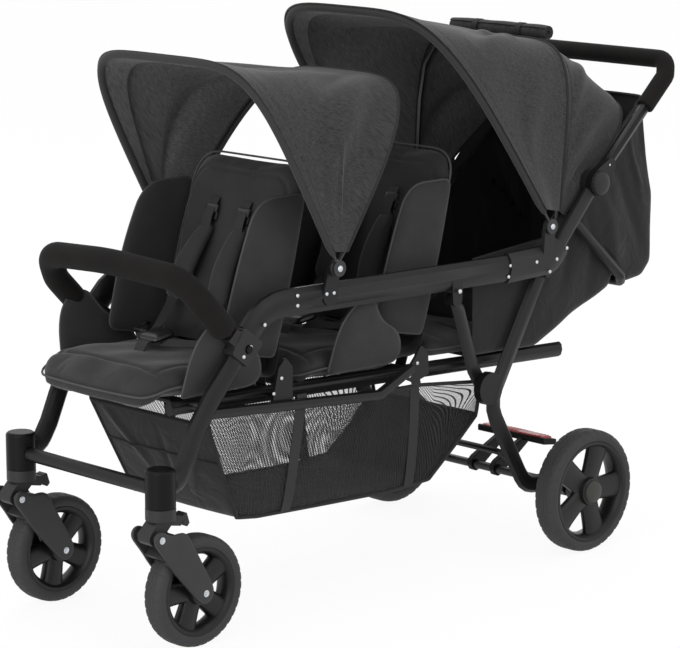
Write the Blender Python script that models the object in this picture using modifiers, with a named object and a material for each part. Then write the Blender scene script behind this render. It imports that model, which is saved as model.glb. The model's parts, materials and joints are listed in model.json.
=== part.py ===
"""Three-seat tandem stroller with a folding frame, built from its separate pieces.

Metres, +Z up. The front of the stroller faces -Y and the occupants' left is +X. Sizes along the
stroller are written as distances behind the front axle and heights above the ground; at() turns
them into the part's frame, whose origin lies on the ground under the middle of the stroller.
"""
import math

import bmesh
import bpy
from mathutils import Matrix, Vector

# Clearances
GAP = 0.0003
SLIDE = 0.0006

# Wheels and ground plan
FRONT_WHEEL_R = 0.100
FRONT_WHEEL_W = 0.044
FRONT_TRACK = 0.385
REAR_WHEEL_R = 0.120
REAR_WHEEL_W = 0.051
REAR_TRACK = 0.526
WHEELBASE = 0.952
TYRE_DEPTH = 0.023
WHEEL_STEPS = 24
AXLE_R = 0.005

# Casters
CASTER_TRAIL = 0.073
COLLAR_R = 0.027
STEM_TOP = 0.330
STEM_BOTTOM = 0.262
SPINDLE_R = 0.008
ARM_PIVOT_Y = -0.099
ARM_PIVOT_Z = 0.214
ARM_T = 0.007
ARM_PIN_R = 0.006
ARM_LOBE_R = 0.015
LOBE_R = 0.014
LOBE_HALF = 0.016
CROWN_Z = 0.240

# Side rails and front brackets
RAIL_X = 0.205
RAIL_H = 0.052
RAIL_T = 0.025
RAIL_BEND = (0.157, 0.5835)
RAIL_BEND_R = 0.100
RAIL_END = (0.785, 0.5725)
LEG_SLOPE = math.radians(52.0)
BRACKET_Z = 0.540
BRACKET_LEN = 0.054
BRACKET_T = 0.031
BUTTON_R = 0.007
BUTTON_LIFT = 0.003
BUTTON_PRESS = 0.002

# Front legs
LEG_H = 0.040
LEG_T = 0.025
LEG_LINE = [(0.198, 0.045, 0.4400), (0.191, 0.0134, 0.3873), (0.190, -0.0094, 0.3377), (0.191, -0.030, 0.3030)]
LEG_FOOT_Z = 0.292
CROSSBAR_R = 0.0125

# Rear brackets, posts and knuckles
SLEEVE_H = 0.060
SLEEVE_T = 0.031
SLEEVE_BEND = (0.910, 0.575)
POST_R = 0.014
KNUCKLE = (1.036, 0.710)
KNUCKLE_R = 0.026
KNUCKLE_T = 0.013

# Handle
HANDLE_R = 0.0115
HANDLE_FOAM = 0.0060
HANDLE_KNEE = (1.246, 0.902)
HANDLE_TOP = (1.262, 0.932)
HANDLE_MIDDLE = (1.255, 0.933)
FOAM_START = (1.184, 0.8435)

# Bumper bar
BUMPER_R = 0.009
BUMPER_FOAM = 0.0135
BUMPER_SOCKET = (0.076, 0.5455)
BUMPER_KNEE = (0.026, 0.598)
BUMPER_CORNER = (-0.010, 0.650)
BUMPER_MIDDLE = (-0.022, 0.661)
BUMPER_CORNER_X = 0.180

# Lower rails and their seat plates
LOWER_X = 0.195
LOWER_R = 0.010
LOWER_FRONT = (0.030, 0.4090)
LOWER_MIDDLE = (0.237, 0.3930)
LOWER_REAR = (0.455, 0.3765)
LOWER_TIP = (0.541, 0.4140)
PLATE_T = 0.006

# Seat frame: oval rails, their tops on one line that falls towards the rear
SEAT_RAIL_X = 0.140
SEAT_RAIL_H = 0.030
SEAT_RAIL_T = 0.018
SEAT_LINE = (-0.045, 0.4345)
SEAT_FALL = 0.044
SEAT_RAIL_FRONT = -0.007
SEAT_RAIL_REAR = 1.014
CROSS_R = 0.0075
CROSS_DROP = 0.013
CROSS_1 = 0.225
CROSS_2 = 0.576
STRAP_R = 0.0125
STRAP_T = 0.004
STRAP_X = 0.118

# Seats
PAN_PITCH = 0.352
BACK_PITCH = 0.378
SEAT_DROP = 0.012
SEAT_HALF = 0.156
PAN_HALF = 0.162
GUARD_LEAN = 0.25
PAN_FRONT = -0.064
PAN_NOSE = 0.012
PAN_LIP = 0.020
PAN_SINK = 0.004
PAN_TO_CROSS = 0.020
PAN_T = 0.046
GUARD_TOP = 0.572
GUARD_FRONT = 0.003
GUARD_REAR = 0.104
GUARD_T = 0.017
BACK_FOOT = (0.199, 0.470)
BACK_LEN = 0.356
BACK_LEAN = math.radians(18.5)
BACK_T = 0.034
WING_DEPTH = 0.118
WING_TOP = 0.300
PAD_3_FRONT = 0.628
PAD_3_REAR = 0.872
PAD_3_T = 0.040
BACK_3_FOOT = (0.902, 0.3990)
BACK_3_LEN = 0.244
BACK_3_SLOPE = math.radians(20.0)

# Rear tub: its half width is what the rear legs leave free inside them
REAR_LEG_X = RAIL_X - 0.025
REAR_LEG_T = 0.018
TUB_T = 0.0025
TUB_CLEARANCE = 0.008
TUB_HALF = REAR_LEG_X - REAR_LEG_T / 2 - TUB_CLEARANCE
TUB_FRONT = 0.735
TUB_BACK = 1.269
TUB_TOP = 0.862
TUB_FLOOR_END = 0.925
TUB_SHELL = [(1.020, 0.441), (1.140, 0.485), (1.149, 0.508), (1.183, 0.508), (1.192, 0.489), (1.245, 0.494),
             (TUB_BACK, 0.520), (TUB_BACK - 0.002, 0.660), (1.245, 0.740), (1.224, TUB_TOP)]
TUB_RIM = [(TUB_FRONT, 0.590), (0.930, 0.606), (1.010, 0.664), (1.100, 0.748), (1.190, 0.826)]

# Recline bar
RECLINE_PIVOT = (0.984, 0.656)
RECLINE_FOOT = (1.152, 0.508)
RECLINE_R = 0.010
RECLINE_X = TUB_HALF + 0.0045 + RECLINE_R
RECLINE_PIN_R = 0.006

# Basket
BASKET_T = 0.003
BASKET_FRONT_HALF = 0.160
BASKET_SIDE_HALF = LOWER_X - LOWER_R - GAP
BASKET_REAR_HALF = 0.146
BASKET_FLOOR_HALF = 0.138
BASKET_SAG = 0.006
BASKET_LINE = [(0.064, 0.380), (0.102, 0.296), (0.150, 0.191), (0.200, 0.184), (0.350, 0.177), (0.540, 0.169),
               (0.645, 0.173), (0.717, 0.228), (0.782, 0.282)]
BASKET_RIM = [(0.064, 0.392), (0.120, 0.4035), (0.460, 0.3780), (0.600, 0.3660), (0.776, 0.345)]

# Rear legs and struts
STRUT_TOP = (0.640, 0.531)
ELBOW = (0.770, 0.306)
LOBE = (0.766, 0.338)
LEG_TOP = (0.906, 0.538)
LEG_HEEL = (0.872, 0.130)
REAR_LEG_H = 0.037
LOBE_ELBOW_R = 0.032
STRUT_H = 0.032
STRUT_T = 0.013
LUG_T = 0.005
STOP_R = 0.008
PIN_R = 0.004
PIN_REACH = 0.045
PIN_TRAVEL = 0.030
BOSS_END = REAR_TRACK / 2 - 0.036

# Rear axle and brake
AXLE_TUBE_R = 0.0085
BRACE_R = 0.007
BRACE_HALF = 0.100
BRACE_TOP = (0.897, 0.175)
PEDAL_HALF = 0.090
PEDAL_REACH = (1.048, 0.176)
PEDAL_DEPTH = 0.040
PEDAL_T = 0.010

# Canopy bows: half width at the foot and at the top, rise, lean and squareness
BOW_R = 0.0055
BOW_FOOT_SHARE = 0.5
CANOPY_T = 0.002
CLOTH_GAP = 0.001
FRONT_SAG = 0.016
HOOD_SAG = 0.012
FRONT_RISE = 0.0015
HOOD_RISE = 0.004
CREASE = 0.003
BACK_CREASE = 0.002
HUB_R = 0.015
HUB_T = 0.007
EAR_T = 0.007
EAR_LIFT = 0.002
FRONT_CANOPY = (0.318, 0.634)
INNER_HUB_X = RAIL_X + RAIL_T / 2 + EAR_LIFT + GAP + HUB_T / 2
OUTER_HUB_X = INNER_HUB_X + HUB_T + GAP
REAR_EAR_X = RAIL_X + SLEEVE_T / 2 - EAR_LIFT
REAR_HUB_X = REAR_EAR_X + GAP + HUB_T / 2
FRONT_BOW_1 = (OUTER_HUB_X, 0.230, 0.424, math.radians(28.9), 5.4)
REAR_BOW_1 = (INNER_HUB_X, 0.207, 0.385, math.radians(-36.0), 4.2)
REAR_CANOPY = (0.894, 0.642)
FRONT_BOW_2 = (REAR_HUB_X, 0.242, 0.534, math.radians(38.2), 4.4)
REAR_BOW_2 = (0.187, 0.200, 0.349, math.radians(-3.9), 5.5)
MID_BOW_FOOT = (0.944, 0.632)
REAR_RIM = (0.181, 0.172, 0.338, math.radians(-50.5), 4.5)
ROLL_R = 0.0165
ROLL_HALF = 0.127
ROLL_AT = (0.985, 0.9992)
BOW_STEPS = 16

# The frame's origin lies midway between the foremost caster arms and the rear of the handle grip
GRIP_R = HANDLE_R + GAP * 2 + HANDLE_FOAM
GRIP_ROUNDING = 0.0008
ORIGIN_BACK = (HANDLE_TOP[0] + GRIP_R - GRIP_ROUNDING + ARM_PIVOT_Y - ARM_LOBE_R) / 2

COLORS = {
    "frame": ("1b1b1d", 0.42, 0.35),
    "bracket": ("37383a", 0.50, 0.0),
    "plastic": ("1d1e20", 0.55, 0.0),
    "housing": ("3a3c3f", 0.50, 0.0),
    "tyre": ("202122", 0.85, 0.0),
    "rim": ("232427", 0.45, 0.0),
    "foam": ("171514", 0.90, 0.0),
    "seat": ("2c2d2f", 0.95, 0.0),
    "canopy": ("46474a", 0.95, 0.0),
    "basket": ("232426", 0.95, 0.0),
    "steel": ("b9bcc0", 0.30, 1.0),
    "pedal": ("8e1c20", 0.40, 0.0),
}

for old in list(bpy.data.objects):
    bpy.data.objects.remove(old, do_unlink=True)
PIECES = bpy.data.collections.new("triple_stroller")
bpy.context.scene.collection.children.link(PIECES)


def at(x, y, z):
    """Point at a distance across, behind the front axle and above the ground."""
    return Vector((x, y - ORIGIN_BACK, z))


def linear(code):
    """Linear colour of an sRGB hex code."""
    parts = [int(code[i:i + 2], 16) / 255 for i in (0, 2, 4)]
    return [p / 12.92 if p <= 0.04045 else ((p + 0.055) / 1.055) ** 2.4 for p in parts]


def paint(name):
    """Material of one kind of piece."""
    known = bpy.data.materials.get(name)
    if known:
        return known
    code, roughness, metallic = COLORS[name]
    made = bpy.data.materials.new(name)
    made.use_nodes = True
    shader = made.node_tree.nodes["Principled BSDF"]
    shader.inputs["Base Color"].default_value = (*linear(code), 1.0)
    shader.inputs["Roughness"].default_value = roughness
    shader.inputs["Metallic"].default_value = metallic
    return made


def evaluated(source):
    """New mesh of an object with its modifiers or its curve worked out."""
    bpy.context.view_layer.update()
    graph = bpy.context.evaluated_depsgraph_get()
    return bpy.data.meshes.new_from_object(source.evaluated_get(graph))


def face_out(bm):
    """Turn the faces of a closed body outwards."""
    bmesh.ops.recalc_face_normals(bm, faces=bm.faces)
    if bm.calc_volume(signed=True) < 0:
        bmesh.ops.reverse_faces(bm, faces=bm.faces)


def settle(mesh, matrix=None):
    """Weld a mesh, move it by the matrix and turn its faces outwards."""
    if matrix:
        mesh.transform(matrix)
    bm = bmesh.new()
    bm.from_mesh(mesh)
    bmesh.ops.remove_doubles(bm, verts=bm.verts, dist=0.00001)
    face_out(bm)
    bm.to_mesh(mesh)
    bm.free()


def piece(name, mesh, kind, pivot=None):
    """Object for a mesh given in the part's frame, with its origin on the pivot of its joint."""
    mesh.name = name
    mesh.materials.clear()
    mesh.materials.append(paint(kind))
    made = bpy.data.objects.new(name, mesh)
    PIECES.objects.link(made)
    if pivot is not None:
        mesh.transform(Matrix.Translation(-pivot))
        made.location = pivot
    mesh.shade_smooth()
    mesh.set_sharp_from_angle(angle=math.radians(35))
    return made


def from_curve(curve, matrix=None):
    """Mesh of a curve, as one closed skin."""
    guide = bpy.data.objects.new("guide", curve)
    bpy.context.scene.collection.objects.link(guide)
    mesh = evaluated(guide)
    bpy.data.objects.remove(guide)
    settle(mesh, matrix)
    return mesh


def rounded(corners, radius, closed=False, turn=math.radians(20)):
    """Points of a line through the corners with each corner rounded to its radius."""
    count = len(corners)
    radii = radius if isinstance(radius, (list, tuple)) else [radius] * count
    points = []
    for i, corner in enumerate(corners):
        if not closed and i in (0, count - 1):
            points.append(corner.copy())
            continue
        before = (corners[i - 1] - corner).normalized()
        after = (corners[(i + 1) % count] - corner).normalized()
        bend = math.pi - before.angle(after)
        if radii[i] <= 0 or bend < 0.02:
            points.append(corner.copy())
            continue
        reach = radii[i] * math.tan(bend / 2)
        inward = (before + after).normalized()
        centre = corner + inward * (radii[i] / math.cos(bend / 2))
        first = corner + before * reach - centre
        last = corner + after * reach - centre
        steps = max(2, round(bend / turn))
        for k in range(steps + 1):
            share = k / steps
            spoke = first * math.sin((1 - share) * bend) + last * math.sin(share * bend)
            points.append(centre + spoke / math.sin(bend))
    return points


def sweep(points, radius, flat=1.0, ring=2, radii=None, caps=True):
    """Mesh of a tube along the points, pressed to an oval across X where flat is below 1."""
    curve = bpy.data.curves.new("sweep", 'CURVE')
    curve.dimensions = '3D'
    curve.bevel_depth = radius
    curve.bevel_resolution = ring
    curve.use_fill_caps = caps
    spline = curve.splines.new('POLY')
    spline.points.add(len(points) - 1)
    for i, p in enumerate(points):
        spline.points[i].co = (p.x / flat, p.y, p.z, 1.0)
        spline.points[i].radius = radii[i] if radii else 1.0
    return from_curve(curve, Matrix.Diagonal((flat, 1.0, 1.0, 1.0)))


def plate(outlines, x_low, x_high):
    """Mesh of a flat piece cut from outlines in the side view, between two distances across.

    The first outline is the edge and any others are holes.
    """
    curve = bpy.data.curves.new("plate", 'CURVE')
    curve.dimensions = '2D'
    curve.fill_mode = 'BOTH'
    curve.extrude = abs(x_high - x_low) / 2
    for outline in outlines:
        spline = curve.splines.new('POLY')
        spline.points.add(len(outline) - 1)
        spline.use_cyclic_u = True
        for slot, (y, z) in zip(spline.points, outline):
            slot.co = (y - ORIGIN_BACK, z, 0.0, 1.0)
    stand = Matrix(((0, 0, 1, (x_low + x_high) / 2), (1, 0, 0, 0), (0, 1, 0, 0), (0, 0, 0, 1)))
    return from_curve(curve, stand)


def circle(centre, radius, steps=16, start=0.0):
    """Outline of a circle in the side view."""
    angles = [start + math.tau * k / steps for k in range(steps)]
    return [(centre[0] + radius * math.cos(a), centre[1] + radius * math.sin(a)) for a in angles]


def paddle(first, r_first, last, r_last, steps=5):
    """Outline of two round ends joined by their common tangents."""
    dy, dz = last[0] - first[0], last[1] - first[1]
    heading = math.atan2(dz, dy)
    open_by = math.acos((r_first - r_last) / math.hypot(dy, dz))
    outline = []
    for k in range(steps + 1):
        a = heading + open_by + (math.tau - 2 * open_by) * k / steps
        outline.append((first[0] + r_first * math.cos(a), first[1] + r_first * math.sin(a)))
    for k in range(steps + 1):
        a = heading - open_by + 2 * open_by * k / steps
        outline.append((last[0] + r_last * math.cos(a), last[1] + r_last * math.sin(a)))
    return outline


def soft_outline(corners, radius):
    """Outline in the side view with rounded corners."""
    flat = [Vector((0, y, z)) for y, z in corners]
    return [(p.y, p.z) for p in rounded(flat, radius, closed=True, turn=math.radians(30))]


def rod(radius, x_low, x_high, centre, steps=16):
    """Mesh of a round bar across the stroller."""
    return plate([circle(centre, radius, steps)], x_low, x_high)


def turned(profile, centre, upright=False, steps=24):
    """Mesh turned from closed (radius, height) points about an axis through the centre."""
    mesh = bpy.data.meshes.new("turned")
    count = len(profile)
    on_axis = profile[0][0] == 0 and profile[-1][0] == 0
    edges = [(i, i + 1) for i in range(count - 1)] + ([] if on_axis else [(count - 1, 0)])
    mesh.from_pydata([(r, 0, h) for r, h in profile], edges, [])
    guide = bpy.data.objects.new("guide", mesh)
    bpy.context.scene.collection.objects.link(guide)
    screw = guide.modifiers.new("turn", 'SCREW')
    screw.steps = steps
    screw.render_steps = steps
    screw.use_merge_vertices = True
    screw.merge_threshold = 0.00001
    made = evaluated(guide)
    bpy.data.objects.remove(guide)
    tilt = Matrix.Identity(4) if upright else Matrix.Rotation(math.pi / 2, 4, 'Y')
    settle(made, Matrix.Translation(centre) @ tilt)
    return made


def combined(mesh, others, operation='UNION'):
    """Mesh joined with, or cut by, the others in turn."""
    scene = bpy.context.scene.collection
    body = bpy.data.objects.new("body", mesh)
    scene.objects.link(body)
    for other in others:
        tool = bpy.data.objects.new("tool", other)
        scene.objects.link(tool)
        step = body.modifiers.new("combine", 'BOOLEAN')
        step.object = tool
        step.operation = operation
        step.solver = 'EXACT'
        joined = evaluated(body)
        body.modifiers.remove(step)
        body.data = joined
        bpy.data.objects.remove(tool)
    result = body.data
    bpy.data.objects.remove(body)
    settle(result)
    return result


def cage(cells, shape):
    """Mesh of a block of cells, each corner moved to its place by the shape function."""
    bm = bmesh.new()
    bmesh.ops.create_cube(bm, size=2.0)
    for axis, count in enumerate(cells):
        along = [e for e in bm.edges if abs(e.verts[0].co[axis] - e.verts[1].co[axis]) > 0.5]
        if count > 1:
            bmesh.ops.subdivide_edges(bm, edges=along, cuts=count - 1, use_grid_fill=True)
    for v in bm.verts:
        v.co = shape(*v.co)
    face_out(bm)
    mesh = bpy.data.meshes.new("cage")
    bm.to_mesh(mesh)
    bm.free()
    return mesh


def soften(made, levels=1):
    """Smooth a cage by subdivision."""
    smooth = made.modifiers.new("soften", 'SUBSURF')
    smooth.levels = levels
    smooth.render_levels = levels
    return made


def sheet(columns, rows, shape, thickness, outward=1.0):
    """Mesh of a cloth of even thickness on a grid, each point placed from its two shares."""
    bm = bmesh.new()
    bmesh.ops.create_grid(bm, x_segments=columns, y_segments=rows, size=1.0)
    for v in bm.verts:
        v.co = shape((v.co.x + 1) / 2, (v.co.y + 1) / 2)
    mesh = bpy.data.meshes.new("sheet")
    bm.to_mesh(mesh)
    bm.free()
    return thicken(mesh, thickness, outward)


def thicken(mesh, thickness, outward=1.0):
    """Mesh of an open surface given a wall."""
    guide = bpy.data.objects.new("guide", mesh)
    bpy.context.scene.collection.objects.link(guide)
    wall = guide.modifiers.new("wall", 'SOLIDIFY')
    wall.thickness = thickness
    wall.offset = outward
    wall.use_even_offset = True
    made = evaluated(guide)
    bpy.data.objects.remove(guide)
    settle(made)
    return made


def arch(bow, foot, angle, lift=0.0):
    """Point of a canopy bow: a squared arch standing on its foot line and leaning forward."""
    half, top_half, rise, lean, square = bow
    c, s = math.cos(angle), math.sin(angle)
    reach = (abs(c) ** square + abs(s) ** square) ** (-1 / square)
    height = s * reach
    width = half + (top_half - half) * height + lift
    up = height * (rise + lift)
    return at(c * reach * width, foot[0] - up * math.sin(lean), foot[1] + up * math.cos(lean))


def arch_angles(low_angle):
    """Angles at which a bow and its cloth are both sampled."""
    inner = [low_angle + (math.pi - 2 * low_angle) * k / BOW_STEPS for k in range(BOW_STEPS + 1)]
    return inner


def seat_line(y):
    """Height of the seat frame's upper face at a distance behind the front axle."""
    return SEAT_LINE[1] - SEAT_FALL * (y - SEAT_LINE[0])


def along(start, end, share):
    """Point between two side-view points."""
    return (start[0] + (end[0] - start[0]) * share, start[1] + (end[1] - start[1]) * share)


def side_pair():
    """The left side, at +X, and the right side."""
    return (("left", 1), ("right", -1))


def build_side_rails():
    """Oval side rails, bent down at the front, with canopy ears and the lugs of the rear struts."""
    down = Vector((0, -math.cos(LEG_SLOPE), -math.sin(LEG_SLOPE)))
    bend = at(RAIL_X, *RAIL_BEND)
    end = bend + down * ((RAIL_BEND[1] - BRACKET_Z) / math.sin(LEG_SLOPE) - GAP)
    face = RAIL_X + RAIL_T / 2 + EAR_LIFT
    ear = paddle((FRONT_CANOPY[0] - 0.010, RAIL_BEND[1]), 0.018, FRONT_CANOPY, HUB_R - 0.002)
    lug = paddle((STRUT_TOP[0], STRUT_TOP[1] + 0.034), 0.014, STRUT_TOP, 0.0125)
    outer = RAIL_X + STRUT_T / 2 + GAP
    inner = RAIL_X - STRUT_T / 2 - GAP
    for side, s in side_pair():
        corners = [at(RAIL_X, *RAIL_END) - Vector((0, GAP, 0)), bend, end]
        points = rounded(corners, RAIL_BEND_R, turn=math.radians(12))
        path = [Vector((s * p.x, p.y, p.z)) for p in points]
        mesh = sweep(path, RAIL_H / 2, flat=RAIL_T / RAIL_H, ring=3)
        plates = [plate([ear], s * (face - EAR_T), s * face), plate([lug], s * outer, s * (outer + LUG_T)),
                  plate([lug], s * inner, s * (inner - LUG_T))]
        piece("side_rail_" + side, combined(mesh, plates), "frame")


def bracket_point(down, back):
    """Side-view point of the front bracket, along the leg's slope and square to it."""
    y = RAIL_BEND[0] - (RAIL_BEND[1] - BRACKET_Z) / math.tan(LEG_SLOPE)
    c, s = math.cos(LEG_SLOPE), math.sin(LEG_SLOPE)
    return (y - down * c + back * s, BRACKET_Z - down * s - back * c)


def build_front_brackets():
    """Riveted brackets between rail and leg, with the bumper's socket lobe and release button."""
    half = RAIL_H / 2 + 0.002
    low = LEG_H / 2 + 0.003
    outline = [bracket_point(0, -half), bracket_point(0, half), bracket_point(BRACKET_LEN, low),
               bracket_point(BRACKET_LEN, -low)]
    y, z = BUMPER_SOCKET
    rise = Vector((BUMPER_KNEE[0] - y, BUMPER_KNEE[1] - z)).normalized()
    square = Vector((-rise.y, rise.x)) * (BUMPER_R + 0.005)
    lobe = [(y + square.x, z + square.y), (y - square.x, z - square.y)]
    root = bracket_point(BRACKET_LEN * 0.45, -low * 0.2)
    socket = [lobe[0], lobe[1], (root[0] + 0.012, root[1] + 0.012), (root[0] - 0.006, root[1] - 0.014)]
    button = bracket_point(BRACKET_LEN * 0.5, 0.004)
    for side, s in side_pair():
        inner, outer = RAIL_X - BRACKET_T / 2, RAIL_X + BRACKET_T / 2
        body = plate([soft_outline(outline, 0.006)], s * inner, s * outer)
        neck = plate([socket], s * (inner + 0.003), s * (outer - 0.003))
        body = combined(body, [neck])
        well = rod(BUTTON_R + SLIDE, s * (outer - 0.008), s * (outer + 0.002), button)
        body = combined(body, [well], 'DIFFERENCE')
        piece("front_bracket_" + side, body, "bracket")
        cap = rod(BUTTON_R, s * (outer - 0.008 + BUTTON_PRESS + SLIDE), s * (outer + BUTTON_LIFT), button)
        piece("bumper_button_" + side, cap, "plastic", at(s * outer, *button))


def front_leg_path(s):
    """Centre line of a front leg, from its bracket down to the caster stem."""
    starts = [bracket_point(BRACKET_LEN + GAP + run, 0) for run in (0.0, 0.012)]
    corners = [at(RAIL_X, *start) for start in starts] + [at(*p) for p in LEG_LINE]
    corners.append(at(FRONT_TRACK / 2, -CASTER_TRAIL, LEG_FOOT_Z))
    points = rounded(corners, 0.030, turn=math.radians(16))
    return [Vector((s * p.x, p.y, p.z)) for p in points]


def leg_skin(s, clearance=0.0):
    """Skin of a front leg, or of the space that it needs."""
    return sweep(front_leg_path(s), LEG_H / 2 + clearance, flat=LEG_T / LEG_H, ring=3)


def build_front_legs():
    """Oval front legs, curving in from the brackets to the caster stems."""
    foot_x = FRONT_TRACK / 2
    for side, s in side_pair():
        hole = turned([(0, 0.2), (COLLAR_R + GAP, 0.2), (COLLAR_R + GAP, -0.2), (0, -0.2)],
                      at(s * foot_x, -CASTER_TRAIL, STEM_TOP - 0.1), upright=True)
        piece("front_leg_" + side, combined(leg_skin(s), [hole], 'DIFFERENCE'), "frame")


def build_stems():
    """Caster stems, hollow for the spindles, and the crossbar between them."""
    bore = SPINDLE_R + SLIDE
    stem_x = FRONT_TRACK / 2
    for side, s in side_pair():
        profile = [(0, STEM_TOP), (COLLAR_R - 0.004, STEM_TOP), (COLLAR_R, STEM_TOP - 0.004),
                   (COLLAR_R, STEM_BOTTOM), (bore, STEM_BOTTOM), (bore, STEM_TOP - 0.008),
                   (0, STEM_TOP - 0.008)]
        stem = turned(profile, at(s * stem_x, -CASTER_TRAIL, 0), upright=True, steps=18)
        piece("caster_stem_" + side, stem, "plastic")
    reach = stem_x - COLLAR_R - GAP
    piece("front_crossbar", rod(CROSSBAR_R, -reach, reach, (-CASTER_TRAIL, LEG_FOOT_Z), steps=16), "frame")


def build_casters():
    """Swivelling housings with their lobes, lock tabs, swing arms and front wheels."""
    wheel_x = FRONT_TRACK / 2
    for side, s in side_pair():
        stem = at(s * wheel_x, -CASTER_TRAIL, 0)
        profile = [(0, STEM_TOP - 0.010), (SPINDLE_R, STEM_TOP - 0.010), (SPINDLE_R, STEM_BOTTOM - GAP),
                   (COLLAR_R, STEM_BOTTOM - GAP), (COLLAR_R, CROWN_Z), (0, CROWN_Z)]
        crown = turned(profile, stem, upright=True, steps=16)
        lobe = plate([paddle((ARM_PIVOT_Y, ARM_PIVOT_Z), LOBE_R, (-CASTER_TRAIL + 0.006, CROWN_Z + 0.006), 0.014)],
                     s * wheel_x - LOBE_HALF, s * wheel_x + LOBE_HALF)
        tail = plate([soft_outline([(-CASTER_TRAIL, CROWN_Z - 0.008), (-0.038, CROWN_Z - 0.015),
                                    (-0.032, CROWN_Z + 0.002), (-CASTER_TRAIL, CROWN_Z + 0.012)], 0.003)],
                     s * wheel_x - 0.014, s * wheel_x + 0.014)
        bore = rod(ARM_PIN_R + GAP, s * wheel_x - 0.05, s * wheel_x + 0.05, (ARM_PIVOT_Y, ARM_PIVOT_Z))
        housing = combined(combined(crown, [lobe, tail]), [bore], 'DIFFERENCE')
        piece("caster_housing_" + side, housing, "housing", stem + Vector((0, 0, STEM_BOTTOM)))
        tab = plate([soft_outline([(-0.0328, CROWN_Z - 0.013), (-0.022, CROWN_Z - 0.020),
                                   (-0.016, CROWN_Z - 0.014), (-0.0225, CROWN_Z + 0.006),
                                   (-0.0321, CROWN_Z + 0.003)], 0.002)],
                    s * wheel_x - 0.011, s * wheel_x + 0.011)
        piece("caster_lock_" + side, tab, "plastic", at(s * wheel_x, -0.0265, CROWN_Z + 0.004))
        inner = FRONT_WHEEL_W / 2 + 0.005
        cheeks = []
        for w in (-1, 1):
            low, high = s * wheel_x + w * inner, s * wheel_x + w * (inner + ARM_T)
            cheeks.append(plate([paddle((ARM_PIVOT_Y, ARM_PIVOT_Z), ARM_LOBE_R, (0.0, FRONT_WHEEL_R), 0.014)], low, high))
        reach = inner + ARM_T * 0.6
        pivot = rod(ARM_PIN_R, s * wheel_x - reach, s * wheel_x + reach, (ARM_PIVOT_Y, ARM_PIVOT_Z), steps=12)
        axle = rod(AXLE_R, s * wheel_x - reach, s * wheel_x + reach, (0.0, FRONT_WHEEL_R), steps=12)
        arm = combined(cheeks[0], [pivot, cheeks[1], axle])
        piece("caster_arm_" + side, arm, "plastic", at(s * wheel_x, ARM_PIVOT_Y, ARM_PIVOT_Z))
        build_wheel("front", side, at(s * wheel_x, 0.0, FRONT_WHEEL_R), FRONT_WHEEL_R, FRONT_WHEEL_W,
                    inner - SLIDE)


def window(centre, inner, outer, middle, spoke):
    """Outline of one opening between two spokes."""
    half_in = math.pi / 6 - math.asin(spoke / inner)
    half_out = math.pi / 6 - math.asin(spoke / outer)
    polar = [(inner, -half_in), (outer * 0.93, -half_out), (outer, -half_out * 0.75), (outer * 1.02, 0.0),
             (outer, half_out * 0.75), (outer * 0.93, half_out), (inner, half_in)]
    return [(centre[0] + r * math.cos(middle + a), centre[1] + r * math.sin(middle + a)) for r, a in polar]


def build_wheel(row, side, centre, radius, width, hub_half):
    """Six-spoked rim with its hub, and the tyre round it."""
    y, z = centre.y + ORIGIN_BACK, centre.z
    seat = radius - TYRE_DEPTH
    face = width * 0.36
    rim_edge = circle((y, z), seat - GAP, WHEEL_STEPS)
    windows = [window((y, z), radius * 0.30, seat - 0.011, math.tau * k / 6, 0.0085) for k in range(6)]
    disc = plate([rim_edge] + windows, centre.x - face, centre.x + face)
    hub = rod(radius * 0.22, centre.x - hub_half, centre.x + hub_half, (y, z), steps=14)
    bore = rod(AXLE_R + SLIDE, centre.x - 0.1, centre.x + 0.1, (y, z), steps=12)
    rim = combined(combined(disc, [hub]), [bore], 'DIFFERENCE')
    piece(row + "_rim_" + side, rim, "rim", centre)
    half = width / 2
    profile = [(seat, half * 0.80), (radius - 0.011, half), (radius, half * 0.50),
               (radius, -half * 0.50), (radius - 0.011, -half), (seat, -half * 0.80)]
    piece(row + "_tyre_" + side, turned(profile, centre, steps=WHEEL_STEPS), "tyre", centre)


def post_skin(s, clearance=0.0):
    """Skin of a handle post, or of the space that it needs."""
    length = math.dist(SLEEVE_BEND, KNUCKLE)
    tip = along(SLEEVE_BEND, KNUCKLE, 1 - KNUCKLE_R * 0.5 / length)
    return sweep([at(s * RAIL_X, *SLEEVE_BEND), at(s * RAIL_X, *tip)], POST_R + clearance, ring=3)


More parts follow.
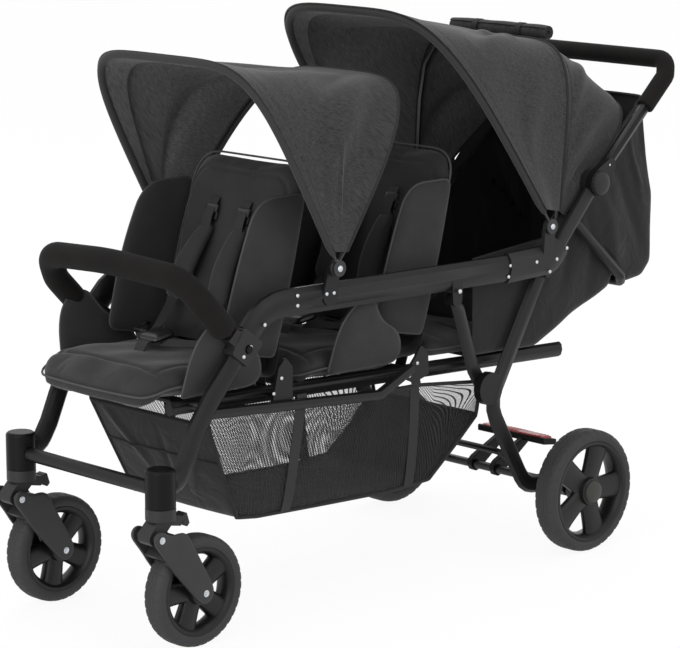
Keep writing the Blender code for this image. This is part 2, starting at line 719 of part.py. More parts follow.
def build_rear_brackets():
    """Rear sleeves on the rails, running on into the handle posts and their knuckle discs."""
    rise = (at(RAIL_X, *KNUCKLE) - at(RAIL_X, *SLEEVE_BEND)).normalized()
    ear = paddle((REAR_CANOPY[0], SLEEVE_BEND[1]), 0.018, REAR_CANOPY, HUB_R - 0.002)
    for side, s in side_pair():
        bend = at(RAIL_X, *SLEEVE_BEND)
        corners = [at(RAIL_X, *RAIL_END), at(RAIL_X, *along(RAIL_END, RAIL_BEND, -0.008)), bend,
                   bend + rise * 0.034]
        path = [Vector((s * p.x, p.y, p.z)) for p in rounded(corners, 0.030, turn=math.radians(16))]
        sleeve = sweep(path, SLEEVE_H / 2, flat=SLEEVE_T / SLEEVE_H, ring=3)
        clear = rod(KNUCKLE_R + SLIDE, s * (RAIL_X - GAP / 2), s * (RAIL_X + 0.05), KNUCKLE, steps=20)
        disc = rod(KNUCKLE_R, s * (RAIL_X - KNUCKLE_T), s * (RAIL_X - GAP / 2), KNUCKLE, steps=20)
        wing = plate([ear], s * (REAR_EAR_X - EAR_T), s * REAR_EAR_X)
        arm = Vector((LEG_TOP[0] - ELBOW[0], LEG_TOP[1] - ELBOW[1])).normalized()
        stop_at = (LEG_TOP[0] + arm.x * (STOP_R + GAP), LEG_TOP[1] + arm.y * (STOP_R + GAP))
        peg = rod(STOP_R, s * (REAR_LEG_X - 0.008), s * (RAIL_X - 0.004), stop_at, steps=12)
        body = combined(combined(sleeve, [post_skin(s)]), [clear], 'DIFFERENCE')
        piece("rear_bracket_" + side, combined(body, [wing, disc, peg]), "bracket")


def build_handle():
    """Bent handle tube on its two knuckle lugs, with a foam grip."""
    lug_reach = along(KNUCKLE, HANDLE_KNEE, 0.17)
    tube_start = along(KNUCKLE, HANDLE_KNEE, (KNUCKLE_R + 0.0015) / math.dist(KNUCKLE, HANDLE_KNEE))
    half = [at(RAIL_X, *tube_start), at(RAIL_X, *HANDLE_KNEE), at(RAIL_X - 0.012, *HANDLE_TOP),
            at(0.0, *HANDLE_MIDDLE)]
    corners = half + [Vector((-p.x, p.y, p.z)) for p in reversed(half[:-1])]
    points = rounded(corners, [0, 0.016, 0.026, 0.400, 0.026, 0.016, 0], turn=math.radians(24))
    tube = sweep(points, HANDLE_R, ring=2)
    lugs = []
    for s in (1, -1):
        outline = paddle(KNUCKLE, KNUCKLE_R, lug_reach, HANDLE_R + 0.002)
        lugs.append(plate([outline], s * (RAIL_X + GAP / 2), s * (RAIL_X + KNUCKLE_T)))
    pivot = at(0.0, *KNUCKLE)
    piece("handle_tube", combined(tube, lugs), "frame", pivot)
    start = at(RAIL_X, *FOAM_START)
    first = start.y
    inside = [p for p in points if p.y > first + 0.004]
    path = [on_path(points, first, 1)] + inside + [on_path(points, first, -1)]
    skin = sweep(path, HANDLE_R + GAP * 2, ring=2, caps=False)
    piece("handle_grip", thicken(skin, HANDLE_FOAM), "foam", pivot)


def on_path(points, y, side):
    """Point of a line on one side of the stroller where it passes a distance along it."""
    for a, b in zip(points, points[1:]):
        if a.x * side > 0 and b.x * side > 0 and (a.y - y) * (b.y - y) <= 0 and a.y != b.y:
            return a.lerp(b, (y - a.y) / (b.y - a.y))
    return points[0]


def build_bumper():
    """Bent bumper tube with a thick foam grip, pulled out of the brackets along its ends."""
    y, z = BUMPER_SOCKET
    heading = Vector((0, BUMPER_KNEE[0] - y, BUMPER_KNEE[1] - z)).normalized()
    half = [at(RAIL_X, y, z) + heading * GAP, at(RAIL_X, *BUMPER_KNEE),
            at(BUMPER_CORNER_X, *BUMPER_CORNER), at(0.0, *BUMPER_MIDDLE)]
    corners = half + [Vector((-p.x, p.y, p.z)) for p in reversed(half[:-1])]
    points = rounded(corners, [0, 0.050, 0.075, 0.500, 0.075, 0.050, 0], turn=math.radians(18))
    piece("bumper_tube", sweep(points, BUMPER_R, ring=2), "frame", points[0])
    shift = heading * 0.012
    path = [points[0] + shift] + points[1:-1] + [points[-1] + shift]
    skin = sweep(path, BUMPER_R + GAP * 2, ring=2, caps=False)
    piece("bumper_grip", thicken(skin, BUMPER_FOAM), "foam", points[0])


def build_lower_rails():
    """Lower rails under the seats, each with its two riveted seat plates."""
    corners = [LOWER_FRONT, LOWER_MIDDLE, LOWER_REAR, LOWER_TIP]
    first = [(0.190, 0.397), (0.241, 0.394), (0.241, 0.462), (0.224, 0.481), (0.207, 0.464)]
    second = [(0.522, 0.397), (0.550, 0.384), (0.590, 0.394), (0.588, 0.436), (0.569, 0.454), (0.555, 0.432)]
    low = LOWER_X - LOWER_R + 0.0005
    for side, s in side_pair():
        path = rounded([at(s * LOWER_X, *c) for c in corners], [0, 0.3, 0.018, 0], turn=math.radians(30))
        tube = sweep(path, LOWER_R, ring=2)
        tube = combined(tube, [leg_skin(s, GAP)], 'DIFFERENCE')
        plates = [plate([soft_outline(o, 0.005)], s * low, s * (low + PLATE_T)) for o in (first, second)]
        piece("lower_rail_" + side, combined(tube, plates), "frame")


def build_seat_frame():
    """Welded frame under the seats: two oval rails and the cross tubes that join them."""
    parts = []
    for s in (1, -1):
        ends = [at(s * SEAT_RAIL_X, y, seat_line(y) - SEAT_RAIL_H / 2) for y in (SEAT_RAIL_FRONT, SEAT_RAIL_REAR)]
        parts.append(sweep(ends, SEAT_RAIL_H / 2, flat=SEAT_RAIL_T / SEAT_RAIL_H, ring=2))
    plate_inner = LOWER_X - LOWER_R + 0.0005 - GAP
    leg_inner = LEG_LINE[0][0] - LEG_T / 2 + 0.0015
    crosses = [(0.040, leg_inner), (CROSS_1, plate_inner), (CROSS_2, plate_inner), (0.900, SEAT_RAIL_X)]
    for y, reach in crosses:
        parts.append(rod(CROSS_R, -reach, reach, (y, seat_line(y) - CROSS_DROP), steps=10))
    frame = combined(parts[0], parts[1:])
    piece("seat_frame", combined(frame, [leg_skin(1, GAP), leg_skin(-1, GAP)], 'DIFFERENCE'), "frame")


def pan_shape(front, rear, first):
    """Shape of a padded seat pan: rounded nose, crowned top, quilted channels."""
    sink = 0.0 if first else PAN_SINK

    def shape(u, v, w):
        nose = max(0.0, -v) ** 2
        y = front + (rear - front) * (v + 1) / 2 - PAN_NOSE * nose * (1 - u * u)
        crown = 0.010 * (1 - u * u) * (1 - 0.5 * v * v) + 0.004 * math.cos(3 * math.pi * u)
        lip = PAN_LIP if first and v < -0.9 else 0.0
        z = seat_line(y) + GAP + 0.0015 - sink - lip + (PAN_T + crown - 0.010 * nose) * (w + 1) / 2
        return at(PAN_HALF * u * (1 - 0.04 * nose), y, z)

    return shape


def guard_outline(shift, drop):
    """Outline of a seat's side guard."""
    low = seat_line(GUARD_REAR + shift) + 0.008
    corners = [(GUARD_FRONT, low), (GUARD_REAR + 0.024, low), (GUARD_REAR + 0.004, GUARD_TOP - 0.050 - drop),
               (GUARD_REAR - 0.020, GUARD_TOP - drop), (GUARD_FRONT + 0.050, GUARD_TOP - 0.002 - drop),
               (GUARD_FRONT + 0.012, GUARD_TOP - 0.044 - drop)]
    return soft_outline([(y + shift, z) for y, z in corners], [0.006, 0.010, 0.030, 0.026, 0.024, 0.030])


def back_shape(shift, drop):
    """Shape of a padded back: a slab whose sides turn forward into wings."""
    lean_y, lean_z = math.sin(BACK_LEAN), math.cos(BACK_LEAN)
    turn_at = 0.56

    def shape(u, v, w):
        side = 1 if u > 0 else -1
        share = abs(u)
        depth = BACK_T * (w + 1) / 2
        wing = max(0.0, (share - turn_at) / (1 - turn_at))
        top = BACK_LEN - (BACK_LEN - WING_TOP) * min(1.0, wing * 4)
        top -= 0.085 * max(0.0, wing - 0.45) ** 2
        rise = top * (v + 1) / 2
        crown = 0.008 * math.cos(share / turn_at * math.pi / 2) * (1 - v * v) if share < turn_at else 0.0
        if wing <= 0:
            x = side * share / turn_at * (SEAT_HALF - BACK_T * 0.5)
            back = depth - BACK_T - crown * (1 - w) / 2
        else:
            bend = min(1.0, wing * 3) * math.pi / 2
            forward = WING_DEPTH * wing * (1 - 0.15 * max(0.0, v)) * (0.94 + 0.06 * v)
            thick = 0.020 + (BACK_T - 0.020) * max(0.0, 1 - wing * 3)
            x = side * (SEAT_HALF - BACK_T * 0.5 + (thick * (w + 1) / 2) * math.sin(bend) + 0.002 * wing)
            back = -forward + (depth - BACK_T) * math.cos(bend)
        y = BACK_FOOT[0] + shift + rise * lean_y + back * lean_z + BACK_T * lean_z
        z = BACK_FOOT[1] - drop + rise * lean_z - back * lean_y * 0.6
        return at(x, y, z)

    return shape


def build_seats():
    """Two upright seats, each a pan with guards and a reclining back with wings."""
    for index in range(2):
        shift, back_shift, drop = PAN_PITCH * index, BACK_PITCH * index, SEAT_DROP * index
        number = str(index + 1)
        y = (CROSS_1, CROSS_2)[index]
        outline = pan_shape(PAN_FRONT + shift, y - PAN_TO_CROSS, index == 0)
        pan = piece("pan_cage", cage((6, 4, 1), outline), "seat")
        body = evaluated(soften(pan))
        bpy.data.objects.remove(pan)
        guards = []
        for s in (1, -1):
            low = PAN_HALF - 0.005
            guard = plate([guard_outline(shift, drop)], s * low, s * (low + GUARD_T))
            lean = Matrix.Identity(4)
            lean[0][2] = -s * GUARD_LEAN
            lean[0][3] = s * GUARD_LEAN * (seat_line(shift) + 0.020)
            guard.transform(lean)
            guards.append(guard)
        settle(body)
        piece("seat_" + number + "_pan", combined(body, guards), "seat")
        cushion = piece("back_cage", cage((8, 4, 1), back_shape(back_shift, drop)), "seat")
        body = evaluated(soften(cushion))
        bpy.data.objects.remove(cushion)
        settle(body)
        tube = (y, seat_line(y) - CROSS_DROP)
        root = (BACK_FOOT[0] + back_shift + BACK_T * 0.7, BACK_FOOT[1] - drop + 0.030)
        straps = [plate([paddle(tube, STRAP_R, root, 0.008)], s * STRAP_X, s * (STRAP_X + STRAP_T)) for s in (1, -1)]
        hole = rod(CROSS_R + SLIDE, -SEAT_HALF, SEAT_HALF, tube)
        body = combined(combined(body, straps), [hole], 'DIFFERENCE')
        piece("seat_" + number + "_back", body, "seat", at(0.0, *tube))


def build_rear_seat():
    """Lie-flat rear seat: flat pad, back pad, fabric tub and the recline bar behind it."""
    span = PAD_3_REAR - PAD_3_FRONT

    def pad(u, v, w):
        y = PAD_3_FRONT + span * (v + 1) / 2
        crown = 0.007 * (1 - u * u) * (1 - v * v)
        base = seat_line(y) + GAP * 2 + TUB_T
        return at((TUB_HALF - TUB_T - 0.008) * u, y, base + (PAD_3_T + crown) * (w + 1) / 2)

    soften(piece("seat_3_pan", cage((4, 3, 1), pad), "seat"))
    c, s = math.cos(BACK_3_SLOPE), math.sin(BACK_3_SLOPE)

    def rest(u, v, w):
        run = BACK_3_LEN * (v + 1) / 2
        lift = (PAD_3_T + 0.008 * (1 - u * u) * (1 - v * v)) * (w + 1) / 2
        y = BACK_3_FOOT[0] + run * c - lift * s
        return at((TUB_HALF - TUB_T - 0.009) * u, y, BACK_3_FOOT[1] + run * s + lift * c)

    hinge = at(0.0, *BACK_3_FOOT)
    soften(piece("seat_3_back", cage((4, 3, 1), rest), "seat", hinge))
    build_tub()
    pivot, foot = at(RECLINE_X, *RECLINE_PIVOT), at(RECLINE_X, *RECLINE_FOOT)
    low = (RECLINE_FOOT[0] + 0.014, RECLINE_FOOT[1] - 0.015)
    half = [pivot, foot, at(RECLINE_X - 0.010, *low), at(0.0, *low)]
    corners = half + [Vector((-p.x, p.y, p.z)) for p in reversed(half[:-1])]
    points = rounded(corners, [0, 0.010, 0.008, 0, 0.008, 0.010, 0], turn=math.radians(30))
    pins = [rod(RECLINE_PIN_R, s * (RECLINE_X - 0.004), s * (RAIL_X - POST_R - GAP), RECLINE_PIVOT, steps=12)
            for s in (1, -1)]
    piece("recline_bar", combined(sweep(points, RECLINE_R, ring=2), pins), "frame", at(0.0, *RECLINE_PIVOT))


def tub_profile():
    """Side view of the tub, from the front of its floor back and up its rear wall."""
    return [(y, seat_line(y) + GAP + TUB_T) for y in (TUB_FRONT, TUB_FLOOR_END)] + TUB_SHELL


def build_tub():
    """Deep fabric tub round the rear seat: floor, rear wall and two side walls."""
    line = [Vector((0, y, z)) for y, z in tub_profile()]
    line = rounded(line, [0, 0.05, 0, 0, 0, 0, 0, 0, 0.02, 0, 0, 0], turn=math.radians(60))
    lengths = [0.0]
    for a, b in zip(line, line[1:]):
        lengths.append(lengths[-1] + (b - a).length)
    bm = bmesh.new()
    rows = []
    for p, length in zip(line, lengths):
        share = length / lengths[-1]
        place = min(share * (len(TUB_RIM) - 1), len(TUB_RIM) - 1.001)
        top = along(TUB_RIM[int(place)], TUB_RIM[int(place) + 1], place - int(place))
        right = [(0.0, p.y, p.z), ((TUB_HALF - 0.020) * 0.5, p.y, p.z), (TUB_HALF - 0.011, p.y, p.z)]
        for lift, wide in ((0.06, 0.001), (0.45, 0.003), (1.0, 0.001)):
            y, z = along((p.y, p.z), top, lift)
            right.append((TUB_HALF - wide, y, z))
        left = [(-x, y, z) for x, y, z in reversed(right[1:])]
        rows.append([bm.verts.new(at(*q)) for q in left + right])
    for a, b in zip(rows, rows[1:]):
        for k in range(len(a) - 1):
            bm.faces.new((a[k], a[k + 1], b[k + 1], b[k]))
    mesh = bpy.data.meshes.new("tub")
    bm.to_mesh(mesh)
    bm.free()
    piece("rear_tub", thicken(mesh, TUB_T, -1.0), "seat")


def build_basket():
    """Basket under the seats: front panel, floor, side walls and a rear panel that slopes up."""
    line, top = BASKET_LINE, BASKET_RIM
    wide = [BASKET_FRONT_HALF, BASKET_SIDE_HALF, BASKET_SIDE_HALF - 0.004, BASKET_REAR_HALF + 0.006,
            BASKET_REAR_HALF]
    bm = bmesh.new()
    rows = []
    for i, (y, z) in enumerate(line):
        place = min(i / (len(line) - 1) * (len(top) - 1), len(top) - 1.001)
        k, part = int(place), place - int(place)
        rim = along(top[k], top[k + 1], part)
        rim_half = wide[k] + (wide[k + 1] - wide[k]) * part
        right = [(BASKET_FLOOR_HALF * u, y, z - BASKET_SAG * (1 - u * u)) for u in (0.0, 0.5, 1.0)]
        for lift in (0.33, 0.67, 1.0):
            wy, wz = along((y, z), rim, lift)
            right.append((BASKET_FLOOR_HALF + (rim_half - BASKET_FLOOR_HALF) * lift ** 0.7, wy, wz))
        left = [(-x, yy, zz) for x, yy, zz in reversed(right[1:])]
        rows.append([bm.verts.new(at(*p)) for p in left + right])
    for a, b in zip(rows, rows[1:]):
        for k in range(len(a) - 1):
            bm.faces.new((a[k], a[k + 1], b[k + 1], b[k]))
    mesh = bpy.data.meshes.new("basket")
    bm.to_mesh(mesh)
    bm.free()
    piece("basket", thicken(mesh, BASKET_T, 1.0), "basket")


def build_rear_legs():
    """Elbowed rear legs with plastic axle ends, and the struts that carry them from the rails."""
    axle = (WHEELBASE, REAR_WHEEL_R)
    pin = (WHEELBASE + PIN_REACH, REAR_WHEEL_R)
    pivot = at(0.0, *STRUT_TOP)
    strut_x = REAR_LEG_X - REAR_LEG_T / 2 - GAP - STRUT_T / 2 - 0.0004
    for side, s in side_pair():
        corners = [at(s * REAR_LEG_X, *p) for p in (LEG_TOP, ELBOW, LEG_HEEL, axle)]
        points = rounded(corners, [0, 0.060, 0.050, 0], turn=math.radians(20))
        bar = sweep(points, REAR_LEG_H / 2, flat=REAR_LEG_T / REAR_LEG_H, ring=2)
        half = REAR_LEG_T / 2 - 0.0005
        low, high = s * (REAR_LEG_X - half), s * (REAR_LEG_X + half)
        lobe = plate([circle(LOBE, LOBE_ELBOW_R, 16)], low, high)
        end = plate([paddle(axle, 0.020, pin, 0.011)], low, s * BOSS_END)
        body = combined(bar, [lobe, end])
        holes = [rod(AXLE_R + SLIDE, s * 0.1, s * 0.3, axle, steps=12),
                 rod(PIN_R + SLIDE, s * 0.1, s * 0.3, pin, steps=12)]
        piece("rear_leg_" + side, combined(body, holes, 'DIFFERENCE'), "frame", pivot)
        top, foot = at(s * RAIL_X, *STRUT_TOP), at(s * strut_x, *LOBE)
        half = STRUT_T / 2 - 0.0005
        top_disc = plate([circle(STRUT_TOP, 0.0115, 14)], s * (RAIL_X - half), s * (RAIL_X + half))
        foot_disc = plate([circle(LOBE, STRUT_H / 2, 14)], s * (strut_x - half), s * (strut_x + half))
        upper, lower = top.lerp(foot, 0.12), top.lerp(foot, 0.78)
        upper.x, lower.x = top.x, foot.x
        path = [top, upper, lower, foot]
        bar = sweep(path, STRUT_H / 2, flat=STRUT_T / STRUT_H, ring=2, radii=[0.62, 1.0, 1.0, 1.0])
        strut = combined(bar, [top_disc, foot_disc])
        piece("rear_strut_" + side, strut, "frame", pivot)
        pin_low = REAR_LEG_X - REAR_LEG_T / 2 - 0.006
        pin_body = rod(PIN_R, s * pin_low, s * (BOSS_END - 0.0002), pin, steps=10)
        piece("brake_pin_" + side, pin_body, "steel", at(s * pin_low, *pin))


def build_rear_axle():
    """Axle with its tube and brace, the rear wheels and the brake pedal."""
    axle = (WHEELBASE, REAR_WHEEL_R)
    wheel_x = REAR_TRACK / 2
    pivot = at(0.0, *axle)
    reach = REAR_LEG_X - REAR_LEG_T / 2 - GAP - 0.0002
    tube = rod(AXLE_TUBE_R, -reach, reach, axle, steps=14)
    back = Vector((0, BRACE_TOP[0] - axle[0], BRACE_TOP[1] - axle[1])).normalized()
    foot = at(BRACE_HALF, *axle) + back * AXLE_TUBE_R * 0.5
    corners = [foot, at(BRACE_HALF, *BRACE_TOP), at(-BRACE_HALF, *BRACE_TOP), Vector((-foot.x, foot.y, foot.z))]
    brace = sweep(rounded(corners, 0.022, turn=math.radians(25)), BRACE_R, ring=2)
    bore = rod(AXLE_R + SLIDE, -0.3, 0.3, axle, steps=12)
    piece("axle_tube", combined(combined(tube, [brace]), [bore], 'DIFFERENCE'), "frame")
    end = wheel_x + REAR_WHEEL_W / 2 + 0.003
    piece("rear_axle", rod(AXLE_R, -end, end, axle, steps=12), "steel")
    pedal = soft_outline([(PEDAL_REACH[0] - PEDAL_DEPTH / 2, PEDAL_REACH[1] - PEDAL_T),
                          (PEDAL_REACH[0] + PEDAL_DEPTH / 2, PEDAL_REACH[1] - PEDAL_T * 1.6),
                          (PEDAL_REACH[0] + PEDAL_DEPTH / 2, PEDAL_REACH[1] - PEDAL_T * 0.4),
                          (PEDAL_REACH[0] - PEDAL_DEPTH / 2, PEDAL_REACH[1] + PEDAL_T * 0.4)], 0.003)
    pad = plate([pedal], -PEDAL_HALF, PEDAL_HALF)
    root = (axle[0] + 0.004, axle[1] + 0.002)
    tip = (PEDAL_REACH[0] - 0.008, PEDAL_REACH[1] - 0.008)
    arms = [plate([paddle(root, 0.017, tip, 0.008)], s * 0.030 - 0.006, s * 0.030 + 0.006) for s in (1, -1)]
    ring = rod(AXLE_TUBE_R + SLIDE, -0.06, 0.06, axle, steps=16)
    treadle = combined(combined(pad, arms), [ring], 'DIFFERENCE')
    piece("brake_pedal", treadle, "pedal", pivot)
    for side, s in side_pair():
        hub = wheel_x - BOSS_END - SLIDE
        build_wheel("rear", side, at(s * wheel_x, *axle), REAR_WHEEL_R, REAR_WHEEL_W, hub)


def bow_tube(form, foot, low_angle):
    """Mesh of a canopy bow's tube, bent at the same places as the cloth over it."""
    points = [arch(form, foot, a) for a in arch_angles(low_angle)]
    if low_angle > 0:
        points = [arch(form, foot, 0.0)] + points + [arch(form, foot, math.pi)]
    radii = [BOW_FOOT_SHARE] + [1.0] * (len(points) - 2) + [BOW_FOOT_SHARE]
    return sweep(points, BOW_R, ring=1, radii=radii)


def bow(name, form, foot, low_angle, pivot):
    """Canopy bow: a thin tube bent to its arch, with flat eyes at the feet where it swings."""
    x = form[0]
    eyes = [rod(HUB_R, s * (x - HUB_T / 2), s * (x + HUB_T / 2), foot, steps=14) for s in (1, -1)]
    return piece(name, combined(bow_tube(form, foot, low_angle), eyes), "plastic", pivot)


def cover(name, forms, feet, sag, rows, low_angle, pivot, creases=0.0, start=0.0, rise=0.0):
    """Canopy cloth over two bows, sagging between them, with shallow folds down its sides."""
    lift = BOW_R + CLOTH_GAP
    middle = at(0.0, *along(feet[0], feet[1], 0.5))

    def shape(u, v):
        v = start + (1 - start) * v
        angle = low_angle + (math.pi - 2 * low_angle) * (1 - u)
        point = arch(forms[0], feet[0], angle, lift + rise).lerp(arch(forms[1], feet[1], angle, lift), v)
        dip = sag * 4 * v * (1 - v) * math.sin(angle) ** 2
        fold = creases * math.sin(angle * 9) * math.sin(v * math.pi) * (1 - abs(math.cos(angle)) ** 3)
        return point + (middle - point).normalized() * (dip + fold)

    mesh = sheet(BOW_STEPS, rows, shape, CANOPY_T)
    return piece(name, mesh, "canopy", pivot)


def build_canopies():
    """Front canopy on two swinging bows; rear canopy on a swinging bow, a fixed bow and a rear panel."""
    pivot = at(0.0, *FRONT_CANOPY)
    low = math.radians(12)
    bow("front_canopy_front_bow", FRONT_BOW_1, FRONT_CANOPY, low, pivot)
    bow("front_canopy_rear_bow", REAR_BOW_1, FRONT_CANOPY, low, pivot)
    feet = (FRONT_CANOPY, FRONT_CANOPY)
    cover("front_canopy_cover", (FRONT_BOW_1, REAR_BOW_1), feet, FRONT_SAG, 5, low, pivot,
          creases=CREASE, rise=FRONT_RISE)
    pivot = at(0.0, *REAR_CANOPY)
    bow("rear_canopy_front_bow", FRONT_BOW_2, REAR_CANOPY, low, pivot)
    fixed = at(0.0, *MID_BOW_FOOT)
    tube = combined(bow_tube(REAR_BOW_2, MID_BOW_FOOT, low), [post_skin(1, GAP), post_skin(-1, GAP)], 'DIFFERENCE')
    piece("rear_canopy_mid_bow", tube, "plastic", fixed)
    cover("rear_canopy_hood", (FRONT_BOW_2, REAR_BOW_2), (REAR_CANOPY, MID_BOW_FOOT), HOOD_SAG, 5, low, pivot,
          creases=CREASE, rise=HOOD_RISE)
    cover("rear_canopy_back", (REAR_BOW_2, REAR_RIM), (MID_BOW_FOOT, MID_BOW_FOOT), 0.0, 4, low, fixed,
          creases=BACK_CREASE, start=0.006)
    profile = [(0, ROLL_HALF), (ROLL_R - 0.004, ROLL_HALF), (ROLL_R, ROLL_HALF - 0.005), (ROLL_R, -ROLL_HALF + 0.005),
               (ROLL_R - 0.004, -ROLL_HALF), (0, -ROLL_HALF)]
    piece("canopy_roll", turned(profile, at(0.0, *ROLL_AT), steps=14), "canopy")


build_side_rails()
build_front_brackets()
build_front_legs()
build_stems()
build_casters()
build_rear_brackets()
build_handle()
build_bumper()
build_lower_rails()
build_seat_frame()
build_seats()
build_rear_seat()
build_basket()
build_rear_legs()
build_rear_axle()
build_canopies()
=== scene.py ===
"""Looks of a three-seat tandem stroller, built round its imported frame.

Metres, +Z up, the front towards -Y and the children's left at +X. Places are written as distances
across, behind the front axle and above the ground; at() turns them into the frame's coordinates.
"""
import json
import math

import bmesh
import bpy
import numpy as np
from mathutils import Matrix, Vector

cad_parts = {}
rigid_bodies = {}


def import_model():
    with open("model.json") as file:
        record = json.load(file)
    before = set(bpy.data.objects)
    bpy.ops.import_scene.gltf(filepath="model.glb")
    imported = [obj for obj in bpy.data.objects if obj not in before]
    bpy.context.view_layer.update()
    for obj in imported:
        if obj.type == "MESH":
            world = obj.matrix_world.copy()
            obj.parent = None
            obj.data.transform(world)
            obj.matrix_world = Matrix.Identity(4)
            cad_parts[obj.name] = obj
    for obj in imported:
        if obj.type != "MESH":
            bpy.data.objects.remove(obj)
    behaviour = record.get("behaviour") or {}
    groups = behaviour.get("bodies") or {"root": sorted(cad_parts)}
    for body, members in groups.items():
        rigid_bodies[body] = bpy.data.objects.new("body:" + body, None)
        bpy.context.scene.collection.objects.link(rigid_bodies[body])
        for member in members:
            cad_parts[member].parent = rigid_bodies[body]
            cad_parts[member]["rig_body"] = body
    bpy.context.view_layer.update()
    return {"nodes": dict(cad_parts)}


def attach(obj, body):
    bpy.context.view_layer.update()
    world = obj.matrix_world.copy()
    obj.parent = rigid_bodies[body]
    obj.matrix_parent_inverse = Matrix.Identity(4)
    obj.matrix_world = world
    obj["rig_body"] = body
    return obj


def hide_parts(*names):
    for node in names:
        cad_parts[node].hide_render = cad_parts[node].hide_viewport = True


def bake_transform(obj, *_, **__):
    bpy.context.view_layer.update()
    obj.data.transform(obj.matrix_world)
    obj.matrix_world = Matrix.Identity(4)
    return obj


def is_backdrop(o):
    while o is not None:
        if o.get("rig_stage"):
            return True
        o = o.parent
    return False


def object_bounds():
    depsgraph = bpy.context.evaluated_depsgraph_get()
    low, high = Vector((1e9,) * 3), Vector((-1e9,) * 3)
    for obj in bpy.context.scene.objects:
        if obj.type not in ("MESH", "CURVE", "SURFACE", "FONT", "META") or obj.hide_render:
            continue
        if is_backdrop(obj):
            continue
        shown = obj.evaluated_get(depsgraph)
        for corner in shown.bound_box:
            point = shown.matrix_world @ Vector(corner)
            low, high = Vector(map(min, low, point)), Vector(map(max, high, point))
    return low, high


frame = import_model()

# Camera and room
# A long lens about five metres off, left of the front and a little above the canopies. The floor is
# pale vinyl that runs on past the picture, and five large soft lamps light it evenly.
BEHIND_AXLE = 0.58265
EYE = (3.8463, -3.2089 - BEHIND_AXLE, 1.5485)
AZIMUTH, DOWN = math.radians(45.6942), math.radians(11.3605)
LENS, SENSOR = 153.1, 36.0
FLOOR_HALF = 40.0
LAMPS = (("key_lamp", (1.6, -4.2, 3.6), 3.2, 66.0), ("side_lamp", (4.6, 1.6, 2.6), 2.6, 26.0),
         ("top_lamp", (-0.6, 0.6, 4.2), 3.4, 52.0), ("back_lamp", (-3.2, 3.4, 2.8), 2.4, 30.0),
         ("low_lamp", (1.2, -4.4, 0.35), 2.6, 62.0))
SKY, FLOOR_WHITE = 0.98, 0.92

scene = bpy.context.scene
camera = bpy.data.objects.new("camera", bpy.data.cameras.new("camera"))
camera.data.lens = LENS
camera.data.sensor_width = SENSOR
camera.data.clip_end = 60.0
camera.location = EYE
camera.rotation_mode = "QUATERNION"
heading = Vector((-math.sin(AZIMUTH) * math.cos(DOWN), math.cos(AZIMUTH) * math.cos(DOWN), -math.sin(DOWN)))
camera.rotation_quaternion = heading.to_track_quat("-Z", "Y")
scene.collection.objects.link(camera)
scene.camera = camera
scene.view_settings.view_transform = "Standard"


def linear(code):
    """Linear colour of an sRGB hex code: each channel through the sRGB curve."""
    parts = [int(code[i:i + 2], 16) / 255 for i in (0, 2, 4)]
    return [p / 12.92 if p <= 0.04045 else ((p + 0.055) / 1.055) ** 2.4 for p in parts] + [1.0]


def node(tree, kind, values=(), links=(), **settings):
    """Adds one shader node with its settings, its socket values and what feeds its sockets."""
    made = tree.nodes.new("ShaderNode" + kind)
    for key, value in settings.items():
        setattr(made, key, value)
    for socket, value in dict(values).items():
        made.inputs[socket].default_value = value
    for socket, source in dict(links).items():
        tree.links.new(source, made.inputs[socket])
    return made


def seen_white(tree):
    """One for the camera's, glossy and transmission rays and zero for the others: the largest of the three."""
    path = node(tree, "LightPath")
    some = node(tree, "Math", links={0: path.outputs["Is Camera Ray"], 1: path.outputs["Is Glossy Ray"]},
                operation="MAXIMUM")
    seen = node(tree, "Math", links={0: some.outputs[0], 1: path.outputs["Is Transmission Ray"]},
                operation="MAXIMUM")
    return seen.outputs[0]


floor_mesh = bpy.data.meshes.new("floor")
floor_mesh.from_pydata([(x * FLOOR_HALF, y * FLOOR_HALF, 0.0) for x, y in ((-1, -1), (1, -1), (1, 1), (-1, 1))], [],
                       [(0, 1, 2, 3)])
floor = bpy.data.objects.new("floor", floor_mesh)
scene.collection.objects.link(floor)
vinyl = bpy.data.materials.new("pale_vinyl")
vinyl.use_nodes = True
vinyl.node_tree.nodes.clear()
matte = node(vinyl.node_tree, "BsdfDiffuse", {"Color": linear("f4f4f4")})
glow = node(vinyl.node_tree, "Emission", {"Color": (1, 1, 1, 1), "Strength": 1.0})
share = node(vinyl.node_tree, "Math", {1: FLOOR_WHITE}, {0: seen_white(vinyl.node_tree)}, operation="MULTIPLY")
both = node(vinyl.node_tree, "MixShader", links={0: share.outputs[0], 1: matte.outputs[0], 2: glow.outputs[0]})
node(vinyl.node_tree, "OutputMaterial", links={"Surface": both.outputs[0]})
floor.data.materials.append(vinyl)
floor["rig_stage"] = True

world = bpy.data.worlds.new("studio")
scene.world = world
world.use_nodes = True
world.node_tree.nodes.clear()
seen = seen_white(world.node_tree)
dim = node(world.node_tree, "Background", {"Color": (1, 1, 1, 1), "Strength": SKY})
bright = node(world.node_tree, "Background", {"Color": (1, 1, 1, 1), "Strength": 1.0})
both = node(world.node_tree, "MixShader", links={0: seen, 1: dim.outputs[0], 2: bright.outputs[0]})
node(world.node_tree, "OutputWorld", links={"Surface": both.outputs[0]})

for name, place, size, power in LAMPS:
    lamp = bpy.data.objects.new(name, bpy.data.lights.new(name, "AREA"))
    lamp.data.shape = "SQUARE"
    lamp.data.size = size
    lamp.data.energy = power
    lamp.location = place
    lamp.rotation_mode = "QUATERNION"
    lamp.rotation_quaternion = (Vector((0, 0, 0.5)) - Vector(place)).to_track_quat("-Z", "Y")
    scene.collection.objects.link(lamp)

